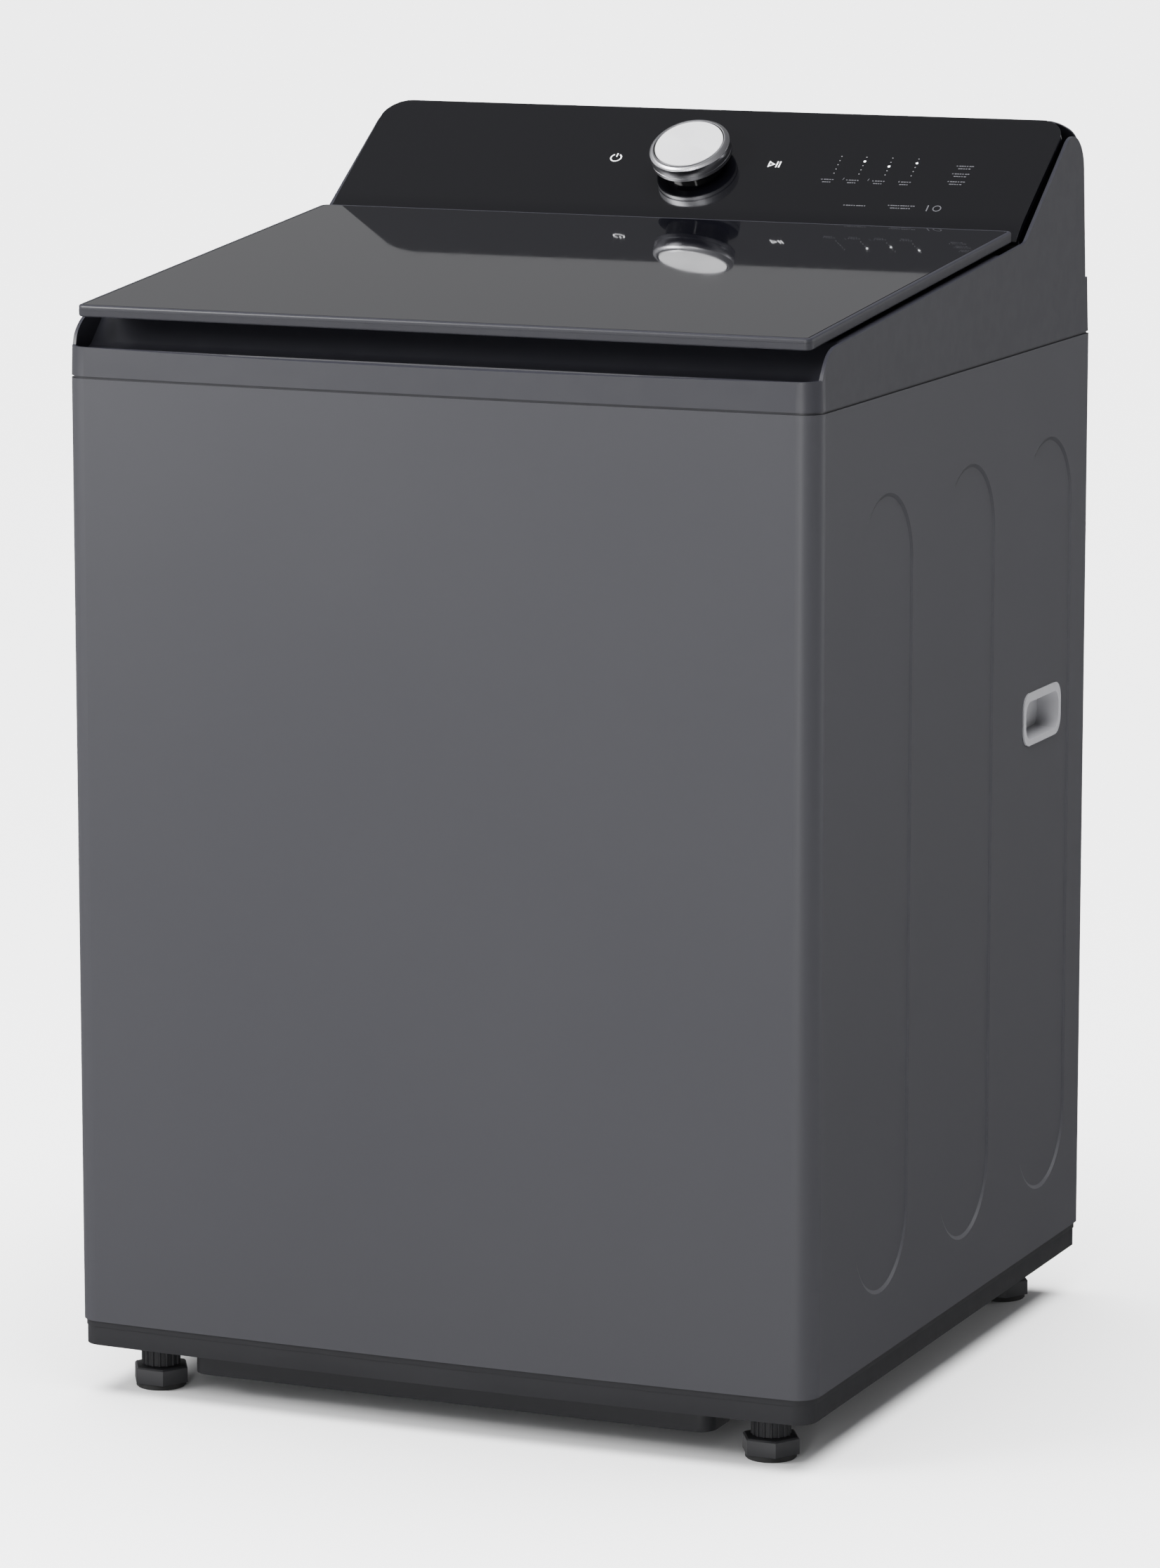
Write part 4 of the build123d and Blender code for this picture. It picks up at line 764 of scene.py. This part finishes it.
@dataclass
class Knob:
    """Turned programme knob: silver ring with a dark groove and a spun, dished cap.

    Attributes:
        radius: outer radius of the ring.
        neck: height of the ring's underside above the face.
        top: height of the ring's rim above the face.
        cap_radius: radius of the cap.
        dish: how deep the cap's middle lies.
        shaft: radius of the shaft.
        shaft_low: height of the shaft's inner end above the face.
    """

    radius: float = 37.4 * MM
    neck: float = 8.1 * MM
    top: float = 24.0 * MM
    cap_radius: float = 31.6 * MM
    dish: float = 0.5 * MM
    shaft: float = 3.0 * MM
    shaft_low: float = -12.0 * MM

    def build(self, face: Face) -> None:
        """Make the ring and the cap.

        Args:
            face: the console's face.
        """
        r, low, top = self.radius, self.neck, self.top
        ring = [(0.0, self.shaft_low), (self.shaft, self.shaft_low), (self.shaft, low),
                (r - 2.4 * MM, low), (r - 1.1 * MM, low + 0.35 * MM), (r - 0.3 * MM, low + 1.2 * MM),
                (r - 0.3 * MM, low + 4.4 * MM), (r - 0.75 * MM, low + 4.7 * MM),
                (r - 0.75 * MM, low + 5.3 * MM), (r, low + 5.6 * MM), (r, top - 3.4 * MM),
                (r - 0.25 * MM, top - 2.7 * MM), (r - 2.6 * MM, top - 0.5 * MM),
                (r - 3.3 * MM, top - 0.12 * MM), (r - 4.1 * MM, top), (r - 4.6 * MM, top - 0.3 * MM),
                (r - 4.7 * MM, top - 2.6 * MM), (self.cap_radius - 3 * MM, top - 2.6 * MM),
                (0.0, top - 2.6 * MM)]
        vertices, faces = lathe(ring, 128)
        made = make_object("knob_ring_turned", vertices, faces, FINISHES[Slot.KNOB_SILVER],
                           at=face.matrix())
        clean_fans(made)
        add_piece(made, "knob", ("knob_ring",))
        edge = self.cap_radius
        cap = [(edge - 0.4 * MM, top - 2.5 * MM), (edge, top - 2.3 * MM), (edge, top - 0.5 * MM),
               (edge - 0.3 * MM, top - 0.05 * MM), (edge - 0.8 * MM, top + 0.12 * MM),
               (edge - 1.5 * MM, top + 0.08 * MM)]
        rows = 14
        span = edge - 1.5 * MM
        for k in range(1, rows + 1):
            share = 1 - k / rows
            cap.append((span * share, top + 0.08 * MM - self.dish * (1 - share * share)))
        vertices, faces = lathe(cap, 128)
        made = make_object("knob_cap_spun", vertices, faces, FINISHES[Slot.KNOB_METAL],
                           at=face.matrix())
        clean_fans(made)
        add_piece(made, "knob", ("knob_disc",))
        # Black rubber ring laid on the floor of the gap between cap and ring: painted shade that keeps the thin
        # line round the cap dark; the gap itself is real.
        gap = [(edge + 0.02 * MM, top - 2.58 * MM), (edge + 0.02 * MM, top - 1.9 * MM),
               (r - 4.72 * MM, top - 1.9 * MM), (r - 4.72 * MM, top - 2.58 * MM)]
        vertices, faces = lathe(gap, 96)
        add_piece(make_object("knob_groove_painted_shade", vertices, faces, FINISHES[Slot.RUBBER],
                              at=face.matrix()), "knob")


@dataclass
class ConsolePanel:
    """Gloss control panel that rolls over slightly along its lower edge.

    Attributes:
        half: half of its width.
        low: lower edge, measured up the face from the knob's middle.
        high: upper edge, measured the same way.
        corner: radius of the upper corners.
        thickness: thickness of the panel.
        roll: length of the rolled strip along the lower edge.
        roll_angle: slope of the face at the very edge, in degrees.
        clearance: radius left open round the knob's neck.
        edge: width of the rounding along its edges.
    """

    half: float = 335.0 * MM
    low: float = -88.0 * MM
    high: float = 79.0 * MM
    corner: float = 25.0 * MM
    thickness: float = 5.0 * MM
    roll: float = 30.0 * MM
    roll_angle: float = 11.0
    clearance: float = 12.0 * MM
    edge: float = 1.1 * MM

    def width_at(self, along: float) -> float:
        """Half width of the panel at a height up the face."""
        above = along - (self.high - self.corner)
        if above <= 0:
            return self.half
        return self.half - self.corner + math.sqrt(max(self.corner ** 2 - above ** 2, 0.0))

    def drop_at(self, along: float) -> float:
        """How far the rolled strip lies below the flat face."""
        inside = self.low + self.roll - along
        if inside <= 0:
            return 0.0
        return -inside * inside * math.tan(math.radians(self.roll_angle)) / (2 * self.roll)

    def rows(self) -> list[float]:
        """Heights of the mesh rows: finer at the rolled edge and in the corners."""
        fine = [self.low + self.roll * k / 10 for k in range(10)]
        flat_top = self.high - self.corner
        middle = [self.low + self.roll + (flat_top - self.low - self.roll) * k / 16
                  for k in range(16)]
        arc = [flat_top + self.corner * math.sin(math.radians(90 * k / 12)) for k in range(12)]
        return fine + middle + arc + [self.high - 0.02 * MM]

    def build(self, face: Face) -> None:
        """Make the panel.

        Args:
            face: the console's face.
        """
        columns = 48
        rows = self.rows()
        vertices = []
        for along in rows:
            width = self.width_at(along)
            vertices += [(width * (2 * k / columns - 1), along, self.drop_at(along))
                         for k in range(columns + 1)]
        faces = []
        for i in range(len(rows) - 1):
            for k in range(columns):
                a = i * (columns + 1) + k
                corners = (a, a + 1, a + columns + 2, a + columns + 1)
                middle = [sum(vertices[c][axis] for c in corners) / 4 for axis in (0, 1)]
                if math.hypot(*middle) > self.clearance:
                    faces.append(corners)
        made = make_object("console_face", vertices, faces, FINISHES[Slot.CONSOLE_GLOSS],
                           at=face.matrix())
        thick = made.modifiers.new("thickness", "SOLIDIFY")
        thick.thickness = self.thickness
        thick.offset = -1.0
        soften_edges(made, self.edge, 4, 50)
        add_piece(made, "cabinet", ("console_panel",))


@dataclass
class ConsoleMarks:
    """Printed marks, touch icons and indicator lamps on the console's face.

    Attributes:
        proud: height of the print above the face.
        icon_size: radius of the round touch icon.
        stroke: line width of the icons.
        icon_height: height of the touch icons up the face from the knob's middle.
        icon_offset: distance of the touch icons to either side of it.
    """

    proud: float = 0.14 * MM
    icon_size: float = 5.0 * MM
    stroke: float = 1.15 * MM
    icon_height: float = 5.0 * MM
    icon_offset: float = 79.0 * MM

    def __post_init__(self) -> None:
        """Start empty groups of outlines."""
        self.outlines: dict[Finish, list[list[Pair]]] = {}

    def put(self, finish: Finish, outline: list[Pair]) -> None:
        """Add one closed outline to the group of its finish."""
        self.outlines.setdefault(finish, []).append(outline)

    def bar(self, finish: Finish, x: float, y: float, width: float, height: float,
            lean: float = 0.0) -> None:
        """Add a leaning rectangle round a middle point."""
        w, h = width / 2, height / 2
        self.put(finish, [(x - w - lean, y - h), (x + w - lean, y - h),
                          (x + w + lean, y + h), (x - w + lean, y + h)])

    def dot(self, finish: Finish, x: float, y: float, radius: float) -> None:
        """Add a round dot."""
        self.put(finish, [(x + radius * math.cos(math.tau * k / 16), y + radius * math.sin(math.tau * k / 16))
                          for k in range(16)])

    def arc(self, finish: Finish, x: float, y: float, radius: float, start: float, end: float,
            stroke: float) -> None:
        """Add an open ring.

        Args:
            finish: finish of the mark.
            x: middle, to the right.
            y: middle, up the face.
            radius: radius of the stroke's middle.
            start: first angle in degrees.
            end: last angle in degrees.
            stroke: line width.
        """
        steps = 28
        turns = [math.radians(start + (end - start) * k / steps) for k in range(steps + 1)]
        outer = [(x + (radius + stroke / 2) * math.cos(t), y + (radius + stroke / 2) * math.sin(t))
                 for t in turns]
        inner = [(x + (radius - stroke / 2) * math.cos(t), y + (radius - stroke / 2) * math.sin(t))
                 for t in reversed(turns)]
        for k in range(steps):
            self.put(finish, [outer[k], outer[k + 1], inner[steps - k - 1], inner[steps - k]])

    def power_icon(self) -> None:
        """Round power symbol at the left of the knob."""
        x, y = -self.icon_offset, self.icon_height
        self.arc(INK_WHITE, x, y, self.icon_size, 122, 418, self.stroke)
        self.bar(INK_WHITE, x, y + self.icon_size * 0.75, self.stroke, self.icon_size * 0.95)

    def start_icon(self) -> None:
        """Start and pause symbol at the right of the knob."""
        x, y = self.icon_offset - 2 * MM, self.icon_height - 1.5 * MM
        h, w, s = 4.2 * MM, 6.6 * MM, self.stroke
        left, tip = x - w / 2 - 2.2 * MM, x + w / 2 - 2.2 * MM
        self.bar(INK_WHITE, left + s / 2, y, s, 2 * h)
        for side in (-1, 1):
            self.put(INK_WHITE, [(left, y + side * h), (left + s * 0.2, y + side * (h - 1.6 * s)),
                                 (tip - 1.6 * s, y), (tip, y)][::side])
        for k in (0, 1):
            self.bar(INK_WHITE, tip + 1.6 * MM + k * 2.6 * MM, y, 1.25 * MM, 2 * h)

    def lamp_columns(self) -> None:
        """Four columns of indicator lamps with captions under them."""
        pitch = 6.0 * MM
        lit = {1: 3, 2: 2, 3: 3}
        for column, x in enumerate((138 * MM, 162 * MM, 187 * MM, 212 * MM)):
            for row in range(5):
                y = -6 * MM + row * pitch
                if lit.get(column) == row:
                    self.dot(LAMP_WHITE, x, y, 1.15 * MM)
                else:
                    self.dot(LAMP_OFF, x, y, 0.55 * MM)
            self.caption(x - 3 * MM, -15 * MM, (13 * MM, 9 * MM))
            if column < 2:
                self.bar(INK_GREY, x + 11.5 * MM, -13.5 * MM, 0.5 * MM, 3 * MM, 0.4 * MM)

    def caption(self, x: float, y: float, widths: Sequence[float]) -> None:
        """Stack of short broken lines that stands for small print.

        Args:
            x: middle of the lines.
            y: height of the first line.
            widths: width of each line.
        """
        for line, width in enumerate(widths):
            left = x - width / 2
            pieces = max(2, round(width / (2.4 * MM)))
            step = width / pieces
            for k in range(pieces):
                share = 0.55 + 0.3 * ((k * 7 + line * 3) % 4) / 3
                self.bar(INK_GREY, left + step * (k + share / 2), y - line * 3.6 * MM,
                         step * share, 1.1 * MM)

    def side_captions(self) -> None:
        """Three pairs of lines at the right, and the marks below the lamps."""
        for group in range(3):
            self.caption(259 * MM - group * 1.0 * MM, 10 * MM - group * 11 * MM, (17 * MM, 12 * MM))
        self.caption(172 * MM, -50 * MM, (22 * MM,))
        self.caption(216 * MM, -48 * MM, (26 * MM, 20 * MM))
        self.bar(INK_GREY, 241 * MM, -50 * MM, 1.1 * MM, 8 * MM)
        self.arc(INK_GREY, 250 * MM, -50 * MM, 3.6 * MM, 0, 360, 0.9 * MM)

    def build(self, face: Face) -> None:
        """Make one mesh for each finish.

        Args:
            face: the console's face.
        """
        self.power_icon()
        self.start_icon()
        self.lamp_columns()
        self.side_captions()
        for finish, outlines in self.outlines.items():
            vertices: list[Colour] = []
            faces: list[tuple] = []
            for outline in outlines:
                points, sides = slab(outline, -0.1 * MM, self.proud)
                base = len(vertices)
                vertices += points
                faces += [tuple(base + c for c in side) for side in sides]
            made = make_object("console_" + finish.name, vertices, faces, finish, smooth=False,
                               at=face.matrix())
            add_piece(made, "cabinet")


@dataclass
class Basket:
    """Wash basket with its perforated, lightly ribbed steel wall and drained floor.

    Attributes:
        columns: hole columns round the wall.
        rows: hole rows up the wall.
        hole: radius of a wall hole.
        rib: depth of the wall's shallow ribs.
        ribs: number of ribs round the wall.
        sheet: thickness of the sheet.
    """

    columns: int = 72
    rows: int = 18
    hole: float = 2.1 * MM
    rib: float = 1.4 * MM
    ribs: int = 12
    sheet: float = 1.1 * MM

    def build(self) -> None:
        """Make the wall and the floor."""
        low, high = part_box("basket")
        radius = (high.x - low.x) / 2 - 0.3 * MM
        middle = Vector(((low.x + high.x) / 2, (low.y + high.y) / 2, 0))
        self.wall(radius, low.z, high.z, middle)
        self.floor(radius, low.z, middle)

    def point(self, radius: float, turn: float, z: float, ribbed: float) -> Colour:
        """A point of the wall, pressed inwards between the ribs."""
        r = radius - self.rib * ribbed * (0.5 - 0.5 * math.cos(self.ribs * turn))
        return (r * math.cos(turn), r * math.sin(turn), z)

    def wall(self, radius: float, low: float, high: float, middle: Vector) -> None:
        """Perforated cylinder.

        Args:
            radius: outer radius.
            low: bottom height.
            high: top height.
            middle: axis in plan.
        """
        holes_low, holes_high = low + 46 * MM, high - 34 * MM
        pitch_z = (holes_high - holes_low) / self.rows
        pitch_a = math.tau / self.columns
        vertices: list[Colour] = []
        faces: list[tuple] = []
        for column in range(self.columns):
            turn = pitch_a * (column + 0.5)
            for row in range(self.rows):
                z = holes_low + pitch_z * (row + 0.5)
                self.cell(vertices, faces, radius, turn, z, pitch_a / 2, pitch_z / 2,
                          (row + column) % 2 == 0)
        for part in range(self.columns * 2):
            a0, a1 = pitch_a * part / 2, pitch_a * (part + 1) / 2
            for z0, z1, b0, b1 in ((low, low + 8 * MM, 0, 0), (low + 8 * MM, low + 30 * MM, 0, 1),
                                   (low + 30 * MM, holes_low, 1, 1), (holes_high, high - 22 * MM, 1, 1),
                                   (high - 22 * MM, high - 8 * MM, 1, 0), (high - 8 * MM, high, 0, 0)):
                base = len(vertices)
                vertices += [self.point(radius, a0, z0, b0), self.point(radius, a1, z0, b0),
                             self.point(radius, a1, z1, b1), self.point(radius, a0, z1, b1)]
                faces.append((base, base + 1, base + 2, base + 3))
        made = make_object("basket_wall", vertices, faces, FINISHES[Slot.STEEL],
                           at=Matrix.Translation(middle))
        self.thicken(made)
        add_piece(made, "wash_basket", ("basket",))

    def cell(self, vertices: list[Colour], faces: list[tuple], radius: float, turn: float, z: float,
             half_a: float, half_z: float, pierced: bool) -> None:
        """One square of the wall, plain or with a round hole.

        Args:
            vertices: list that grows.
            faces: list that grows.
            radius: outer radius of the wall.
            turn: angle of the middle.
            z: height of the middle.
            half_a: half of the width, as an angle.
            half_z: half of the height.
            pierced: whether it has a hole.
        """
        border = [(1, 0), (1, 1), (0, 1), (-1, 1), (-1, 0), (-1, -1), (0, -1), (1, -1)]
        base = len(vertices)
        vertices += [self.point(radius, turn + u * half_a, z + v * half_z, 1) for u, v in border]
        if not pierced:
            vertices.append(self.point(radius, turn, z, 1))
            faces += [(base + k, base + (k + 1) % 8, base + 8) for k in range(8)]
            return
        for k in range(8):
            angle = math.radians(45 * k)
            vertices.append(self.point(radius, turn + self.hole * math.cos(angle) / radius,
                                       z + self.hole * math.sin(angle), 1))
        faces += [(base + k, base + (k + 1) % 8, base + 8 + (k + 1) % 8, base + 8 + k)
                  for k in range(8)]

    def floor(self, radius: float, low: float, middle: Vector) -> None:
        """Pressed floor with two rings.

        Args:
            radius: outer radius.
            low: bottom height.
            middle: axis in plan.
        """
        top = low + 1.9 * MM
        outline = [(16.2 * MM, low), (radius - 6 * MM, low), (radius - 1.4 * MM, low + 0.1 * MM),
                   (radius - 1.4 * MM, top), (radius - 14 * MM, top), (radius - 17 * MM, top + 2 * MM),
                   (radius - 26 * MM, top + 2 * MM), (radius - 29 * MM, top), (120 * MM, top),
                   (117 * MM, top + 1.5 * MM), (96 * MM, top + 1.5 * MM), (93 * MM, top),
                   (16.2 * MM, top), (16.2 * MM, low)]
        vertices, faces = lathe(outline, 96)
        made = make_object("basket_floor", vertices, faces, FINISHES[Slot.STEEL],
                           at=Matrix.Translation(middle))
        add_piece(made, "wash_basket")

    def thicken(self, made: bpy.types.Object) -> None:
        """Give the sheet its thickness."""
        thick = made.modifiers.new("sheet", "SOLIDIFY")
        thick.thickness = self.sheet
        thick.offset = -1.0


@dataclass(frozen=True)
class Softbox:
    """One area light of the studio.

    Attributes:
        name: name of the light.
        at: where it stands.
        aim: where it points.
        size: width and height.
        power: power in watts.
        glossy: whether shiny surfaces mirror it.
        tint: colour of the light.
    """

    name: str
    at: Colour
    aim: Colour
    size: Pair
    power: float
    glossy: bool = True
    tint: Colour = (1.0, 1.0, 1.0)

    def build(self) -> None:
        """Make the light; it lights the set and is not seen itself."""
        data = bpy.data.lights.new(self.name, "AREA")
        data.shape = "RECTANGLE"
        data.size, data.size_y = self.size
        data.energy = self.power
        data.color = self.tint
        light = bpy.data.objects.new(self.name, data)
        light.location = self.at
        way = Vector(self.aim) - Vector(self.at)
        light.rotation_euler = way.to_track_quat("-Z", "Y").to_euler()
        light.visible_camera = False
        light.visible_glossy = self.glossy
        bpy.context.scene.collection.objects.link(light)


@dataclass(frozen=True)
class SkyLight:
    """Broad soft light from straight above, which no shiny surface mirrors.

    Attributes:
        name: name of the light.
        strength: light that falls on the floor, in watts per square metre.
        spread: angle that the light fills, in degrees.
    """

    name: str
    strength: float
    spread: float

    def build(self) -> None:
        """Make the light."""
        data = bpy.data.lights.new(self.name, "SUN")
        data.energy = self.strength
        data.angle = math.radians(self.spread)
        light = bpy.data.objects.new(self.name, data)
        light.visible_glossy = False
        bpy.context.scene.collection.objects.link(light)


@dataclass
class Studio:
    """Pale floor, soft surroundings, lights and the camera.

    Attributes:
        reach: half of the floor's width.
        sky: levels of the surroundings by height, from straight down to straight up.
        bright_side: level direction in which the surroundings are brightest.
        side_share: how much brighter that side is, and how much darker the other.
        tint: colour of the surroundings.
        azimuth: side that the camera looks from, in degrees.
        elevation: height that it looks from, in degrees.
        distance: camera's distance from the point it looks at.
        aim: the point it looks at.
        lens: focal length for a 36 mm film side.
        lights: every light of the studio.
    """

    reach: float = 60.0
    sky: tuple[Pair, ...] = ((-1.0, 0.20), (-0.35, 0.28), (-0.05, 0.55), (0.05, 0.95), (0.12, 0.80),
                             (0.24, 0.42), (0.45, 0.34), (1.0, 0.26))
    bright_side: Colour = (-0.8, -0.6, 0.0)
    side_share: float = 0.55
    tint: tuple[float, float, float, float] = (0.985, 0.985, 1.0, 1.0)
    azimuth: float = 23.228
    elevation: float = 10.2
    distance: float = 5.813
    aim: Colour = (-0.0072, -0.0104, 0.5118)
    lens: float = 149.92
    lights: tuple[Softbox | SkyLight, ...] = (
        SkyLight("sky_light", 15.0, 60.0),
        Softbox("key", (-2.3, -2.5, 2.3), (-0.2, 0.0, 0.85), (1.6, 1.6), 190.0),
        Softbox("corner_strip", (0.95, -4.2, 1.5), (0.34, -0.34, 0.7), (0.35, 2.6), 60.0),
        Softbox("side_strip", (3.6, 2.9, 1.2), (0.34, 0.0, 0.6), (0.7, 2.4), 22.0),
    )

    def build(self) -> None:
        """Make the whole studio."""
        self.floor()
        self.world()
        for light in self.lights:
            light.build()
            LOG.info("light %s", light.name)
        self.camera()

    def floor(self) -> None:
        """Pale floor that runs far beyond the machine."""
        rings = (0.0, 0.8, 1.6, 3.0, 6.0, 12.0, 25.0, self.reach)
        vertices, faces = lathe([(r, 0.0) for r in rings], 48)
        made = make_object("studio_floor", vertices, faces, FLOOR_PAINT, smooth=False)
        clean_fans(made)
        made.visible_glossy = False

    def world(self) -> None:
        """Surroundings with a level for each height, brighter on one side."""
        world = bpy.data.worlds.new("studio")
        world.use_nodes = True
        tree = world.node_tree
        background = tree.nodes["Background"]

        def maths(operation: str, *values: Socket | float) -> Socket:
            """Add one step of arithmetic."""
            step = tree.nodes.new("ShaderNodeMath")
            step.operation = operation
            for socket, value in zip(step.inputs, values):
                if isinstance(value, Socket):
                    tree.links.new(value, socket)
                else:
                    socket.default_value = value
            return step.outputs[0]

        way = tree.nodes.new("ShaderNodeTexCoord").outputs["Generated"]
        split = tree.nodes.new("ShaderNodeSeparateXYZ")
        ramp = tree.nodes.new("ShaderNodeFloatCurve")
        toward = tree.nodes.new("ShaderNodeVectorMath")
        toward.operation = "DOT_PRODUCT"
        toward.inputs[1].default_value = self.bright_side
        tree.links.new(way, split.inputs[0])
        tree.links.new(way, toward.inputs[0])
        tree.links.new(maths("MULTIPLY_ADD", split.outputs[2], 0.5, 0.5), ramp.inputs["Value"])
        top = max(level for _, level in self.sky)
        curve = ramp.mapping.curves[0]
        for k, (height, level) in enumerate(self.sky):
            spot = ((height + 1.0) / 2.0, level / top)
            if k in (0, len(self.sky) - 1):
                curve.points[0 if k == 0 else -1].location = spot
            else:
                curve.points.new(*spot)
        for point in curve.points:
            point.handle_type = "VECTOR"
        ramp.mapping.update()
        share = maths("MULTIPLY_ADD", toward.outputs["Value"], self.side_share, 1.0)
        level = maths("MULTIPLY", ramp.outputs[0], top)
        tree.links.new(maths("MULTIPLY", level, share), background.inputs["Strength"])
        background.inputs["Color"].default_value = self.tint
        bpy.context.scene.world = world

    def camera(self) -> None:
        """Camera on a long lens, looking slightly down on the machine."""
        side, height = math.radians(self.azimuth), math.radians(self.elevation)
        back = Vector((math.sin(side) * math.cos(height), -math.cos(side) * math.cos(height),
                       math.sin(height)))
        data = bpy.data.cameras.new("camera")
        data.lens = self.lens
        data.sensor_width = 36.0
        data.clip_end = 200.0
        camera = bpy.data.objects.new("camera", data)
        camera.location = Vector(self.aim) + back * self.distance
        camera.rotation_euler = (-back).to_track_quat("-Z", "Y").to_euler()
        bpy.context.scene.collection.objects.link(camera)
        bpy.context.scene.camera = camera


def main() -> None:
    """Dress the machine, piece by piece, and set up the studio."""
    logging.basicConfig(level=logging.INFO, format="%(name)s: %(message)s")
    CadDress().dress()
    face = Face()
    ConsolePanel().build(face)
    ConsoleMarks().build(face)
    Knob().build(face)
    Lid().build()
    Basket().build()
    Studio().build()


if __name__ == "__main__":
    main()
